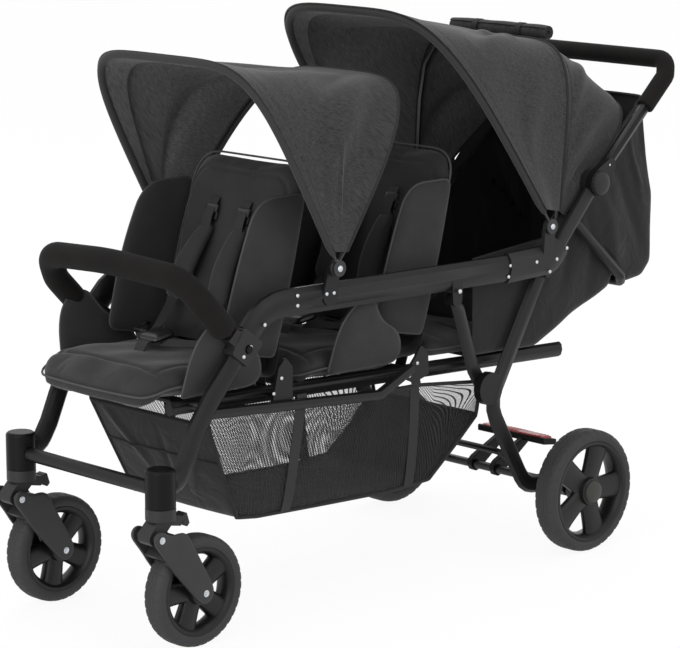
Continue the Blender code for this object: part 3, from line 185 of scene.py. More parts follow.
# Painted tubes
# Oval and round aluminium and steel tubes with a satin black powder coat, drawn, bent and riveted or
# welded. They keep the shapes of their CAD nodes, welded and smoothed, with small rounded edges.
SHARP = math.radians(32)
WELD = 0.00001


def finish(name, roughness, metallic=0.0, **more):
    """New material with its tree and its shader, whose plain values are set on the shader itself."""
    made = bpy.data.materials.new(name)
    made.use_nodes = True
    shader = made.node_tree.nodes["Principled BSDF"]
    shader.inputs["Roughness"].default_value = roughness
    shader.inputs["Metallic"].default_value = metallic
    for socket, value in more.items():
        shader.inputs[socket.replace("_", " ")].default_value = value
    return made, made.node_tree, shader


def grained(name, dark, light, grain_mm, relief, roughness, uneven=0.10, **more):
    """Moulded or coated surface: colour varies softly over 60 mm, and a fine grain of grain_mm lifts it by
    relief metres and varies its gloss by the uneven share."""
    made, tree, shader = finish(name, roughness, **more)
    coords = node(tree, "TexCoord").outputs["Object"]
    fine = node(tree, "TexNoise", {"Scale": 1000.0 / grain_mm, "Detail": 3.0, "Roughness": 0.6}, {"Vector": coords})
    broad = node(tree, "TexNoise", {"Scale": 1000.0 / 60.0, "Detail": 2.0}, {"Vector": coords})
    tone = node(tree, "Mix", {6: linear(dark), 7: linear(light)}, {0: broad.outputs[0]}, data_type="RGBA")
    tree.links.new(tone.outputs[2], shader.inputs["Base Color"])
    gloss = node(tree, "MapRange", {3: roughness - uneven, 4: roughness + uneven}, {0: fine.outputs[0]})
    tree.links.new(gloss.outputs[0], shader.inputs["Roughness"])
    bump = node(tree, "Bump", {"Strength": 0.6, "Distance": relief}, {"Height": fine.outputs[0]})
    tree.links.new(bump.outputs[0], shader.inputs["Normal"])
    return made


# Powder coat on tube: a fine orange peel, drawn at 1.6 mm so that it shows, and a broad soft highlight
powder_coat = grained("satin_powder_coat", "0c0c0c", "141414", 1.6, 0.00012, 0.40, 0.07, Specular_IOR_Level=0.26)


def weld(mesh, outward=True):
    """Merges a mesh's doubles and turns its faces outwards."""
    bm = bmesh.new()
    bm.from_mesh(mesh)
    bmesh.ops.remove_doubles(bm, verts=bm.verts, dist=WELD)
    bmesh.ops.dissolve_degenerate(bm, edges=bm.edges, dist=WELD / 10)
    if outward:
        bmesh.ops.recalc_face_normals(bm, faces=bm.faces)
    bm.to_mesh(mesh)
    bm.free()


def show(name, mesh, material, body, stands_for=(), sharp=SHARP):
    """Object for a finished mesh, riding on its body and standing for its CAD nodes."""
    mesh.name = name
    mesh.materials.clear()
    mesh.materials.append(material)
    mesh.shade_smooth()
    mesh.set_sharp_from_angle(angle=sharp)
    made = bpy.data.objects.new(name, mesh)
    scene.collection.objects.link(made)
    if body:
        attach(made, body)
    if stands_for:
        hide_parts(*stands_for)
    return made


def refined(cad_node, name, material, bevel=0.0):
    """Copy of a CAD node's mesh, welded and smoothed, its flat faces made whole and its edges rounded."""
    source = frame["nodes"][cad_node]
    mesh = source.data.copy()
    bm = bmesh.new()
    bm.from_mesh(mesh)
    bmesh.ops.remove_doubles(bm, verts=bm.verts, dist=WELD)
    bmesh.ops.dissolve_limit(bm, angle_limit=math.radians(0.4), verts=bm.verts, edges=bm.edges)
    bm.to_mesh(mesh)
    bm.free()
    made = show(name, mesh, material, source["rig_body"], [cad_node])
    if bevel:
        rounding = made.modifiers.new("rounding", "BEVEL")
        rounding.width = bevel
        rounding.segments = 2
        rounding.limit_method = "ANGLE"
        rounding.angle_limit = math.radians(40)
        rounding.use_clamp_overlap = True
    return made


for side in ("left", "right"):
    for part in ("side_rail", "front_leg", "lower_rail", "rear_leg", "rear_strut"):
        refined(part + "_" + side, "painted_" + part + "_" + side, powder_coat,
                0.0012 if part.startswith("rear") else 0.0)
for part in ("front_crossbar", "seat_frame", "recline_bar", "axle_tube", "handle_tube", "bumper_tube"):
    refined(part, "painted_" + part, powder_coat)

# Brackets and rivets
# The rails, legs and posts meet in glass-filled nylon brackets with a fine spark texture, held by
# steel rivets whose bright domed heads show on the outside. Release buttons sit in the front ones.
RIVET_R, RIVET_RISE = 0.0037, 0.0019
RIVET_STEPS, DOME_STEPS = 14, 5
FRONT_FACE_X, REAR_FACE_X, RAIL_FACE_X, PLATE_FACE_X = 0.2206, 0.2206, 0.2175, 0.1915
FRONT_RIVETS = ((0.1475, 0.5544), (0.1141, 0.5201), (0.0975, 0.5048))
RAIL_RIVETS = ((0.2293, 0.5949), (0.2293, 0.5770), (0.7847, 0.5786), (0.7794, 0.5581))
REAR_RIVETS = ((0.8554, 0.5775), (0.9129, 0.5762), (0.8932, 0.5540), (0.9415, 0.5941))
PLATE_RIVETS = ((0.2141, 0.4444), (0.1950, 0.4190), (0.5594, 0.4201), (0.5385, 0.3990))
STRUT_BOLT = (0.6397, 0.5492)

spark_nylon = grained("textured_nylon", "161616", "1f1f1f", 1.8, 0.00018, 0.50, 0.08, Specular_IOR_Level=0.30)
satin_abs = grained("satin_black_abs", "060606", "0c0c0c", 1.6, 0.00008, 0.42, 0.06, Specular_IOR_Level=0.14)


def metal(name, code, roughness, grain_mm):
    """Plated steel: one plain colour, its gloss varied by a grain of grain_mm."""
    made, tree, shader = finish(name, roughness, 1.0)
    shader.inputs["Base Color"].default_value = linear(code)
    coords = node(tree, "TexCoord").outputs["Object"]
    fine = node(tree, "TexNoise", {"Scale": 1000.0 / grain_mm, "Detail": 2.0}, {"Vector": coords})
    gloss = node(tree, "MapRange", {3: roughness - 0.08, 4: roughness + 0.12}, {0: fine.outputs[0]})
    tree.links.new(gloss.outputs[0], shader.inputs["Roughness"])
    return made


zinc_steel = metal("zinc_plated_steel", "c9ccd0", 0.30, 1.5)


def at(x, y, z):
    """Points at distances across, behind the front axle and above the ground."""
    x, y, z = np.broadcast_arrays(x, np.asarray(y, float) - BEHIND_AXLE, z)
    return np.stack([x, y, z], -1).astype(float)


def grid(points, around=False):
    """Skin of a surface given as rows and columns of points; around joins each row's end to its start."""
    rows, columns = points.shape[:2]
    r = np.arange(rows - 1)[:, None]
    c = np.arange(columns if around else columns - 1)[None, :]
    nearer = (c + 1) % columns
    faces = np.stack([r * columns + c, r * columns + nearer, (r + 1) * columns + nearer, (r + 1) * columns + c], -1)
    return points.reshape(-1, 3), faces.reshape(-1, 4)


def mesh_of(skins, outward=True, marks=None):
    """Mesh of several skins, each its points and its faces; marks are the texture places of its points."""
    points = np.concatenate([s[0] for s in skins])
    starts = np.cumsum([0] + [len(s[0]) for s in skins[:-1]])
    faces = [row for start, s in zip(starts, skins) for row in (s[1] + start).tolist()]
    mesh = bpy.data.meshes.new("skins")
    mesh.from_pydata(points.tolist(), [], faces)
    if marks is not None:
        corner = np.zeros(len(mesh.loops), np.int32)
        mesh.loops.foreach_get("vertex_index", corner)
        mesh.uv_layers.new(name="cloth").data.foreach_set("uv", marks[corner].astype(np.float32).ravel())
    weld(mesh, outward)
    return mesh


def turned(profile, centre, steps, axis="x"):
    """Skin turned from (radius, offset) points about an axis through the centre: each ring is the radius
    times the cosine and sine of the angle, moved along the axis by the offset."""
    profile = np.asarray(profile, float)
    angle = np.linspace(0, math.tau, steps, endpoint=False)
    radius, offset = profile[:, 0][:, None], profile[:, 1][:, None]
    one, two = radius * np.cos(angle), radius * np.sin(angle)
    flat = np.broadcast_to(offset, one.shape)
    stack = (flat, one, two) if axis == "x" else (one, two, flat)
    return grid(np.stack(stack, -1) + centre, around=True)


def dome(radius, rise, centre, side, steps=RIVET_STEPS):
    """Skin of a rivet's head on a face across: a quarter ellipse turned about X, closed underneath."""
    lift = np.linspace(0, math.pi / 2, DOME_STEPS)
    profile = [(0.0, -0.001 * side)] + [(radius * math.cos(a), side * rise * math.sin(a)) for a in lift]
    profile.insert(1, (radius, -0.001 * side))
    return turned(profile, centre, steps)


def heads(places, x, radius=RIVET_R, rise=RIVET_RISE):
    """Skins of the same rivets on both sides of the stroller."""
    return [dome(radius, rise, at(s * x, y, z), s) for s in (1, -1) for y, z in places]


frame_heads = (heads(FRONT_RIVETS, FRONT_FACE_X) + heads(RAIL_RIVETS, RAIL_FACE_X) + heads(REAR_RIVETS, REAR_FACE_X)
               + heads(PLATE_RIVETS, PLATE_FACE_X) + heads([STRUT_BOLT], RAIL_FACE_X + 0.0055, 0.0046, 0.0030))
show("frame_rivets", mesh_of(frame_heads), zinc_steel, "frame")
for side in ("left", "right"):
    refined("front_bracket_" + side, "moulded_front_bracket_" + side, spark_nylon, 0.0015)
    refined("rear_bracket_" + side, "moulded_rear_bracket_" + side, spark_nylon, 0.0012)
    refined("bumper_button_" + side, "moulded_button_" + side, satin_abs, 0.0008)

# Joint covers on the handle posts
# A ribbed round nylon cover closes each handle knuckle, with a rivet where the handle tube leaves it.
COVER = ((0.0, 0.0135), (0.010, 0.0132), (0.017, 0.0115), (0.0225, 0.0080), (0.0245, 0.0030), (0.0245, -0.004))
COVER_AT, COVER_X = (1.036, 0.710), 0.2185
RIBS, RIB_DEPTH = 18, 0.0011
HANDLE_RIVET = (1.0675, 0.7428)

for side, s in (("left", 1), ("right", -1)):
    profile = np.asarray(COVER)
    angle = np.linspace(0, math.tau, RIBS * 6, endpoint=False)
    ribbed = 1 - RIB_DEPTH / 0.0245 * (0.5 + 0.5 * np.cos(angle * RIBS)) * (profile[:, 0][:, None] > 0.012)
    ring = profile[:, 0][:, None] * ribbed
    points = np.stack([np.broadcast_to(profile[:, 1][:, None] * s, ring.shape), ring * np.cos(angle),
                       ring * np.sin(angle)], -1) + at(s * COVER_X, *COVER_AT)
    show("knuckle_cover_" + side, mesh_of([grid(points, around=True)]), spark_nylon, "handle")
show("handle_rivets", mesh_of(heads([HANDLE_RIVET], 0.2165)), zinc_steel, "handle")

# Foam grips
# Thick closed-cell foam tubes pushed over the bumper bar and the handle, with a fine open-pored skin
# that takes no highlight. They end in a small rounded edge.
foam, tree, shader = finish("closed_cell_foam", 0.86, Sheen_Weight=0.02, Sheen_Roughness=0.5)
shader.inputs["Specular IOR Level"].default_value = 0.12
coords = node(tree, "TexCoord").outputs["Object"]
# Pores of half a millimetre, drawn at 1.4 mm so that they show
pores = node(tree, "TexVoronoi", {"Scale": 1000.0 / 1.4}, {"Vector": coords})
broad = node(tree, "TexNoise", {"Scale": 1000.0 / 45.0, "Detail": 2.0}, {"Vector": coords})
tone = node(tree, "Mix", {6: linear("0f0e0e"), 7: linear("181615")}, {0: broad.outputs[0]}, data_type="RGBA")
tree.links.new(tone.outputs[2], shader.inputs["Base Color"])
bump = node(tree, "Bump", {"Strength": 0.5, "Distance": 0.0002}, {"Height": pores.outputs["Distance"]})
tree.links.new(bump.outputs[0], shader.inputs["Normal"])


def unit(vectors):
    """Vectors made one long."""
    return vectors / np.maximum(np.linalg.norm(vectors, axis=-1, keepdims=True), 1e-12)


def tube(line, radius, ring=12, ends=True, side=(1.0, 0.0, 0.0)):
    """Tube along a line: circles of the radius, square to the run, set by one fixed side direction."""
    line = np.asarray(line, float)
    run = unit(np.gradient(line, axis=0))
    up = unit(np.cross(run, np.asarray(side, float)))
    out = np.cross(up, run)
    angle = np.linspace(0, math.tau, ring, endpoint=False)
    size = np.broadcast_to(np.asarray(radius, float), (len(line),))
    rings = line[:, None] + size[:, None, None] * (np.cos(angle)[None, :, None] * out[:, None]
                                                   + np.sin(angle)[None, :, None] * up[:, None])
    if ends:
        rings = np.concatenate([np.repeat(line[:1, None], ring, 1), rings, np.repeat(line[-1:, None], ring, 1)])
    return grid(rings, around=True)


def bent(corners, radii, steps=14):
    """Line through corners that are rounded by true arcs: each arc is the curve of three points whose middle
    one weighs the cosine of half the turn."""
    corners = np.asarray(corners, float)
    t = np.linspace(0, 1, steps)[:, None]
    line = [corners[:1]]
    for k, radius in zip(range(1, len(corners) - 1), radii):
        before, after = unit(corners[k - 1] - corners[k]), unit(corners[k + 1] - corners[k])
        half_turn = (math.pi - math.acos(np.clip(np.dot(before, after), -1, 1))) / 2
        shorter = min(np.linalg.norm(corners[k - 1] - corners[k]), np.linalg.norm(corners[k + 1] - corners[k]))
        reach, weight = min(radius * math.tan(half_turn), shorter * 0.499), math.cos(half_turn)
        a, b = corners[k] + before * reach, corners[k] + after * reach
        share = (1 - t) ** 2 + 2 * t * (1 - t) * weight + t ** 2
        line.append(((1 - t) ** 2 * a + 2 * t * (1 - t) * weight * corners[k] + t ** 2 * b) / share)
    line = np.concatenate(line + [corners[-1:]])
    run = np.concatenate([[0], np.cumsum(np.linalg.norm(np.diff(line, axis=0), axis=1))])
    stops = np.linspace(0, run[-1], int(run[-1] / 0.006))
    return np.stack([np.interp(stops, run, line[:, i]) for i in range(3)], -1)


def foam_grip(name, half, radii, radius, side, body):
    """Foam grip on a bent bar given from one end to its middle; its ends are rounded off over 4 mm."""
    corners = half + [np.array([-p[0], p[1], p[2]]) for p in half[-2::-1]]
    line = bent(corners, radii)
    size = np.full(len(line), radius)
    first, last = line[0], line[-1]
    lead, tail = first + (line[1] - first) * [[0.0], [0.25]], last + (line[-2] - last) * [[0.25], [0.0]]
    line = np.concatenate([lead, line[1:-1], tail])
    size = np.concatenate([[radius * 0.86, radius * 0.97], size[1:-1], [radius * 0.97, radius * 0.86]])
    return show("foam_" + name, mesh_of([tube(line, size, 36, side=side)]), foam, body, [name])


bar = [at(*p) for p in ((0.205, 0.0677, 0.5543), (0.205, 0.026, 0.598), (0.180, -0.010, 0.650), (0.0, -0.022, 0.661))]
foam_grip("bumper_grip", bar, (0.050, 0.075, 0.500, 0.075, 0.050), 0.0231, (0.0, 0.72, 0.69), "bumper")
bar = [at(*p) for p in ((0.205, 1.184, 0.8453), (0.205, 1.246, 0.902), (0.193, 1.262, 0.932), (0.0, 1.255, 0.933))]
foam_grip("handle_grip", bar, (0.016, 0.026, 0.400, 0.026, 0.016), 0.0181, (0.0, -0.675, 0.738), "handle")

# Casters
# Glass-filled nylon: a black stem under each front leg, a grey swivelling housing, and a sprung arm of
# two plates joined over the tyre, on bright bolts. A lock tab behind the housing flips down.
BOLT_R, BOLT_RISE = 0.0062, 0.0028
WHEEL_X, PIVOT, FRONT_AXLE = 0.1925, (-0.099, 0.214), (0.0, 0.100)
ARM_IN, ARM_OUT = 0.027, 0.034

# The arm's outline behind the front axle and above the ground: a lobe round its pivot, a broad shoulder
# over the tyre and a round end at the axle
ARM_OUTLINE = [(-0.1130, 0.2080), (-0.1135, 0.2200), (-0.1050, 0.2285), (-0.0930, 0.2280), (-0.0830, 0.2215),
               (-0.0700, 0.2175), (-0.0560, 0.2185), (-0.0440, 0.2170), (-0.0345, 0.2080), (-0.0270, 0.1930),
               (-0.0130, 0.1680), (0.0020, 0.1410), (0.0150, 0.1180), (0.0195, 0.1050), (0.0185, 0.0930),
               (0.0100, 0.0820), (-0.0030, 0.0800), (-0.0160, 0.0880), (-0.0330, 0.1075), (-0.0560, 0.1330),
  (-0.0760, 0.1560), (-0.0900, 0.1780), (-0.1040, 0.1960)]

grey_nylon = grained("grey_caster_nylon", "1c1c1c", "262626", 2.2, 0.00016, 0.48, 0.08, Specular_IOR_Level=0.30)
arm_nylon = grained("grey_arm_nylon", "242424", "2f2f2f", 2.2, 0.00016, 0.50, 0.08, Specular_IOR_Level=0.30)


def arm_plate(middle, way):
    """Skin of one side of a swing arm: the outline, its corners cut three times, carried across and drawn in
    along a rounded edge, its outer face swelling towards its middle."""
    line = np.array(ARM_OUTLINE)
    for _ in range(3):
        after = np.roll(line, -1, 0)
        line = np.stack([line * 0.75 + after * 0.25, line * 0.25 + after * 0.75], 1).reshape(-1, 2)
    run = unit(np.roll(line, -1, 0) - np.roll(line, 1, 0))
    inward = np.stack([run[:, 1], -run[:, 0]], -1)
    heart = line.mean(0)
    rings = []
    for drawn_in, nearer, out in ((0.0, 1.0, ARM_IN), (0.0015, 0.0, ARM_IN), (0.0, 0.0, ARM_IN + 0.0012),
                                  (0.0, 0.0, ARM_OUT - 0.0026), (0.0008, 0.0, ARM_OUT - 0.0010),
                                  (0.0024, 0.0, ARM_OUT), (0.0060, 0.0, ARM_OUT + 0.0004),
                                  (0.0060, 0.6, ARM_OUT + 0.0010), (0.0, 1.0, ARM_OUT + 0.0010)):
        ring = line + inward * drawn_in
        ring = ring + (heart - ring) * nearer
        rings.append(at(middle + way * out, ring[:, 0], ring[:, 1]))
    return grid(np.stack(rings), around=True)


def arm_bridge(middle):
    """Skin of the band that joins both sides of an arm in front of the tyre: a rounded section turned about
    the axle from one angle to the other."""
    angle = np.radians(np.linspace(112, 139, 16))[:, None]
    turn = np.linspace(0, math.tau, 32, endpoint=False)[None, :]
    across = 0.0280 * np.sign(np.cos(turn)) * np.abs(np.cos(turn)) ** 0.25
    out = 0.1120 + 0.0050 * np.sign(np.sin(turn)) * np.abs(np.sin(turn)) ** 0.4
    y, z = FRONT_AXLE[0] + out * np.cos(angle), FRONT_AXLE[1] + out * np.sin(angle)
    rings = at(middle + across * np.ones_like(y), y, z)
    ends = [np.repeat(rings[k].mean(0)[None, None], rings.shape[1], 1) for k in (0, -1)]
    return grid(np.concatenate([ends[0], rings, ends[1]]), around=True)


for side, s in (("left", 1), ("right", -1)):
    refined("caster_stem_" + side, "moulded_caster_stem_" + side, satin_abs, 0.0012)
    refined("caster_housing_" + side, "moulded_caster_housing_" + side, grey_nylon, 0.0016)
    plates = [arm_plate(s * WHEEL_X, w) for w in (1, -1)]
    pins = [turned([(0, -ARM_OUT + 0.002), (r, -ARM_OUT + 0.002), (r, ARM_OUT - 0.002), (0, ARM_OUT - 0.002)],
                   at(s * WHEEL_X, y, z), 24) for r, (y, z) in ((0.006, PIVOT), (0.005, FRONT_AXLE))]
    show("moulded_caster_arm_" + side, mesh_of(plates + pins + [arm_bridge(s * WHEEL_X)]), arm_nylon, "arm_" + side,
         ["caster_arm_" + side])
    refined("caster_lock_" + side, "moulded_caster_lock_" + side, grey_nylon, 0.0010)
    bolts = []
    for w in (1, -1):
        for y, z in (PIVOT, FRONT_AXLE):
            place = at(s * WHEEL_X + w * ARM_OUT, y, z)
            bolts.append(turned([(0, -w * 0.001), (BOLT_R, -w * 0.001), (BOLT_R, w * 0.0008),
                                 (BOLT_R * 0.9, w * 0.0012), (BOLT_R * 0.62, w * 0.0012),
                                 (BOLT_R * 0.58, w * BOLT_RISE), (BOLT_R * 0.2, w * BOLT_RISE),
                                 (0, w * BOLT_RISE * 0.8)], place, 18))
    show("caster_bolts_" + side, mesh_of(bolts), zinc_steel, "arm_" + side)

# Wheels
# Five broad moulded spokes run from a hub to a deep rim, and a foam-rubber tyre is pressed on it. The
# front tyres have a ribbed tread; the rear ones have cut shoulder blocks and a flat hub cap.
tyre_rubber = grained("tyre_rubber", "1f1f1f", "2b2b2b", 2.4, 0.00025, 0.72, 0.10)
rim_nylon = grained("rim_nylon", "0e0e0e", "161616", 2.0, 0.00010, 0.40, 0.08, Specular_IOR_Level=0.28)
cap_nylon = grained("hub_cap_nylon", "262523", "32312e", 2.0, 0.00010, 0.38, 0.06, Specular_IOR_Level=0.32)
TYRE_DEPTH = 0.023
SPOKES = 5
# Each wheel's radius and width, the half length of its hub and the half width of its spokes
FRONT_WHEEL, FRONT_HUB_HALF, FRONT_SPOKE_HALF = (0.100, 0.044), 0.0262, 0.0205
REAR_WHEEL, REAR_HUB_HALF, REAR_SPOKE_HALF = (0.120, 0.051), 0.0254, 0.0240
REAR_WHEEL_X, REAR_AXLE = 0.263, (0.952, 0.120)
# First spoke's angle in degrees, and how far the rear spokes are sunk to clear the brake pins
FRONT_FIRST, REAR_FIRST, PIN_ROOM = {"left": 33.0, "right": 45.0}, -2.0, 0.0068


def tyre_skin(centre, radius, width, blocks, depth):
    """Tyre: a closed section of flat tread, round shoulders and curved walls turned about the axle; each of
    the blocks is parted by a cut of the depth across the shoulder."""
    half = width / 2
    seat = radius - TYRE_DEPTH
    section = np.array([(seat, 0.0), (seat, 0.55), (seat, 0.80), (seat + 0.003, 0.92), (radius - 0.014, 1.0),
                        (radius - 0.010, 0.99), (radius - 0.0065, 0.93), (radius - 0.0032, 0.82),
                        (radius - 0.0012, 0.68), (radius - 0.0003, 0.52), (radius, 0.40), (radius - 0.0010, 0.36),
                        (radius, 0.32), (radius, 0.14), (radius - 0.0010, 0.10), (radius, 0.06), (radius, 0.0)])
    section = np.concatenate([section[:-1], section[::-1] * [1, -1]])
    angle = np.linspace(0, math.tau, blocks * 8, endpoint=False)
    place = (np.arange(len(angle)) % 8) / 8
    cut = np.where((place < 0.13), 1.0, 0.0)
    share = np.abs(section[:, 1])
    shoulder = np.where((share > 0.44) & (section[:, 0] > radius - 0.012), 1.0, 0.0)
    ring = section[:, 0][:, None] - depth * shoulder[:, None] * cut[None, :]
    across = np.broadcast_to((section[:, 1] * half)[:, None], ring.shape)
    points = np.stack([across, ring * np.cos(angle), ring * np.sin(angle)], -1) + centre
    return grid(points, around=True)


def spoke_skin(centre, angle, inner, outer, half_width, half_depth):
    """Spoke: an oval section carried from the hub to the rim, wider at both ends than in the middle."""
    run = np.linspace(0, 1, 9)[:, None]
    turn = np.linspace(0, math.tau, 20, endpoint=False)[None, :]
    out = inner + (outer - inner) * run
    swell = 1 + 0.20 * (2 * run - 1) ** 4 + 0.10 * (2 * run - 1)
    wide = half_width * swell * np.sign(np.cos(turn)) * np.abs(np.cos(turn)) ** 0.8
    deep = half_depth * (0.86 + 0.14 * run) * np.sign(np.sin(turn)) * np.abs(np.sin(turn)) ** 0.8
    y = out * math.cos(angle) - wide * math.sin(angle)
    z = out * math.sin(angle) + wide * math.cos(angle)
    return grid(np.stack(np.broadcast_arrays(deep, y, z), -1) + centre, around=True)


def rim_skins(centre, radius, width, hub_half, spoke_half, first, sunk=0.0):
    """Rim: a turned barrel with rolled lips, a turned hub with its bore closed, and the spokes, the first of
    them at an angle in degrees; their inner side is sunk to leave room for a brake pin."""
    seat = radius - TYRE_DEPTH
    half = width / 2
    barrel = [(seat + 0.0002, -half * 0.78), (seat + 0.0028, -half * 0.86), (seat + 0.001, -half * 0.93),
              (seat - 0.004, -half * 0.90), (seat - 0.008, -half * 0.72), (seat - 0.012, -half * 0.30),
              (seat - 0.012, half * 0.30), (seat - 0.008, half * 0.72), (seat - 0.004, half * 0.90),
              (seat + 0.001, half * 0.93), (seat + 0.0028, half * 0.86), (seat + 0.0002, half * 0.78),
              (seat + 0.0002, -half * 0.78)]
    hub_r = radius * 0.22
    hub = [(0.0, -hub_half), (hub_r * 0.8, -hub_half), (hub_r, -hub_half + 0.003), (hub_r * 1.08, -half * 0.5),
           (hub_r * 1.08, half * 0.5), (hub_r, hub_half - 0.003), (hub_r * 0.8, hub_half), (0.0, hub_half)]
    skins = [turned(barrel, centre, 72), turned(hub, centre, 36)]
    for k in range(SPOKES):
        angle = math.radians(first) + math.tau * k / SPOKES
        skins.append(spoke_skin(centre + np.array([sunk, 0, 0]), angle, hub_r * 0.7, seat - 0.006, spoke_half,
                                half * 0.70 - abs(sunk)))
    return skins


for side, s in (("left", 1), ("right", -1)):
    centre = at(s * WHEEL_X, *FRONT_AXLE)
    show("front_tyre_tread_" + side, mesh_of([tyre_skin(centre, *FRONT_WHEEL, 36, 0.0012)]), tyre_rubber,
         "front_wheel_" + side, ["front_tyre_" + side])
    rim = rim_skins(centre, *FRONT_WHEEL, FRONT_HUB_HALF, FRONT_SPOKE_HALF, FRONT_FIRST[side])
    show("front_wheel_rim_" + side, mesh_of(rim), rim_nylon, "front_wheel_" + side, ["front_rim_" + side])
    centre = at(s * REAR_WHEEL_X, *REAR_AXLE)
    show("rear_tyre_tread_" + side, mesh_of([tyre_skin(centre, *REAR_WHEEL, 34, 0.0014)]), tyre_rubber,
         "rear_wheel_" + side, ["rear_tyre_" + side])
    rim = rim_skins(centre, *REAR_WHEEL, REAR_HUB_HALF, REAR_SPOKE_HALF, REAR_FIRST, s * PIN_ROOM)
    show("rear_wheel_rim_" + side, mesh_of(rim), rim_nylon, "rear_wheel_" + side, ["rear_rim_" + side])
    cap = [(0.0, 0.006), (0.016, 0.006), (0.0205, 0.0045), (0.0225, 0.002), (0.0225, -0.004), (0.0, -0.004)]
    cap_skin = turned([(r, s * o) for r, o in cap], centre + np.array([s * REAR_HUB_HALF, 0, 0]), 36)
    show("hub_cap_" + side, mesh_of([cap_skin]), cap_nylon, "rear_wheel_" + side)

# Rear axle and foot brake
# A steel axle runs through a painted tube between the rear legs. The brake pedal is black nylon with
# a glossy red pad moulded over its tread, and pushes a steel pin out into each wheel.
pedal_red = grained("red_pedal_plastic", "8a171c", "a12026", 3.0, 0.00010, 0.32, 0.05)
refined("rear_axle", "plated_axle", zinc_steel)
for side in ("left", "right"):
    refined("brake_pin_" + side, "plated_brake_pin_" + side, zinc_steel)
refined("brake_pedal", "moulded_brake_pedal", satin_abs, 0.0015)
pad_across = np.linspace(-1, 1, 41)[:, None]
pad_turn = np.linspace(0, math.tau, 28, endpoint=False)[None, :]
pad_end = (1 - pad_across ** 12) ** 0.35
pad_y = 1.048 + 0.0185 * pad_end * np.sign(np.cos(pad_turn)) * np.abs(np.cos(pad_turn)) ** 0.5
pad_z = (0.1745 - 0.14 * (pad_y - 1.048)
         + 0.0062 * pad_end * np.sign(np.sin(pad_turn)) * np.abs(np.sin(pad_turn)) ** 0.5
         + 0.0008 * np.cos(pad_across * 60) * (np.sin(pad_turn) > 0.3))
pad_points = at(pad_across * 0.086, pad_y, pad_z)
show("brake_pedal_pad", mesh_of([grid(pad_points, around=True)]), pedal_red, "brake")

# Front canopy
# Charcoal melange polyester sewn over two bent bows that swing on a clamp on each rail. The cloth is
# cut as one sheet, sags between the bows and creases towards the clamps; a wide facing backs its front.
CLOTH_T = 0.0016
BOW_SHEATH_R, BOW_LIFT = 0.0066, 0.0068
CANOPY_LOW = math.radians(5.0)
FRONT_CLAMP = (0.318, 0.634)
FRONT_BOW = (0.2306, 0.230, 0.424, math.radians(28.9), 5.4)
REAR_BOW = (0.2233, 0.207, 0.385, math.radians(-36.0), 4.2)
FACING_SHARE = 0.135
SAG = 0.017

# Melange polyester: dark and pale fibres spun together give short flecks along both threads. The
# threads are 0.5 mm apart and are drawn 2.2 mm apart, so that they show. A paler copy of it is painted light that lifts
# the shade under the canopies
def melange(name, dark, light):
    """Woven cloth of mixed fibres: noise drawn out along the two threads mixes a dark and a light colour."""
    made, tree, shader = finish(name, 0.92, Sheen_Weight=0.12, Sheen_Roughness=0.4)
    shader.inputs["Specular IOR Level"].default_value = 0.2
    marks = node(tree, "UVMap", uv_map="cloth").outputs[0]
    warp_place = node(tree, "Mapping", {"Scale": (1000 / 2.2, 1000 / 15.0, 1.0)}, {"Vector": marks})
    weft_place = node(tree, "Mapping", {"Scale": (1000 / 15.0, 1000 / 2.2, 1.0), "Location": (7.0, 3.0, 0.0)},
                      {"Vector": marks})
    warp = node(tree, "TexNoise", {"Scale": 1.0, "Detail": 2.0}, {"Vector": warp_place.outputs[0]})
    weft = node(tree, "TexNoise", {"Scale": 1.0, "Detail": 2.0}, {"Vector": weft_place.outputs[0]})
    flecks = node(tree, "Math", links={0: warp.outputs[0], 1: weft.outputs[0]}, operation="ADD")
    spread = node(tree, "MapRange", {1: 0.72, 2: 1.28}, {0: flecks.outputs[0]})
    soft = node(tree, "TexNoise", {"Scale": 14.0, "Detail": 2.0}, {"Vector": marks})
    mottled = node(tree, "Math", {1: 0.72}, {0: spread.outputs[0]}, operation="MULTIPLY")
    drift = node(tree, "Math", {1: 0.28, 2: 0.0}, {0: soft.outputs[0]}, operation="MULTIPLY_ADD")
    tree.links.new(mottled.outputs[0], drift.inputs[2])
    tone = node(tree, "Mix", {6: linear(dark), 7: linear(light)}, {0: drift.outputs[0]}, data_type="RGBA")
    tree.links.new(tone.outputs[2], shader.inputs["Base Color"])
    bump = node(tree, "Bump", {"Strength": 0.45, "Distance": 0.0003}, {"Height": flecks.outputs[0]})
    tree.links.new(bump.outputs[0], shader.inputs["Normal"])
    return made


canopy_cloth = melange("melange_polyester", "191919", "3e3e3e")
# Paler copy of the cloth for the faces under the canopies: painted light that lifts their shade
canopy_painted_fill = melange("melange_painted_fill", "353535", "626262")

# Woven binding tape: black, with ribs 1.5 mm apart across its run, drawn at 3 mm
binding = grained("woven_binding", "121212", "1b1b1b", 3.0, 0.00030, 0.85, 0.05)
moulded_black = grained("canopy_clamp_nylon", "151515", "1e1e1e", 1.8, 0.00012, 0.42, 0.08)


def arch(bow, foot, angle, lift=0.0):
    """Points of a bow: a squared arch |c|^n + |s|^n = 1 of the angle, widening from its half width at the
    foot to that at the top, standing on its foot and leaning forward."""
    half, top_half, rise, lean, square = bow
    c, s = np.cos(angle), np.sin(angle)
    reach = (np.abs(c) ** square + np.abs(s) ** square) ** (-1 / square)
    height = s * reach
    width = half + (top_half - half) * height + lift
    up = height * (rise + lift)
    return at(c * reach * width, foot[0] - up * math.sin(lean), foot[1] + up * math.cos(lean))


def normals(points):
    """Normal at each point of a grid: the cross product of its two directions."""
    return unit(np.cross(np.gradient(points, axis=0), np.gradient(points, axis=1)))


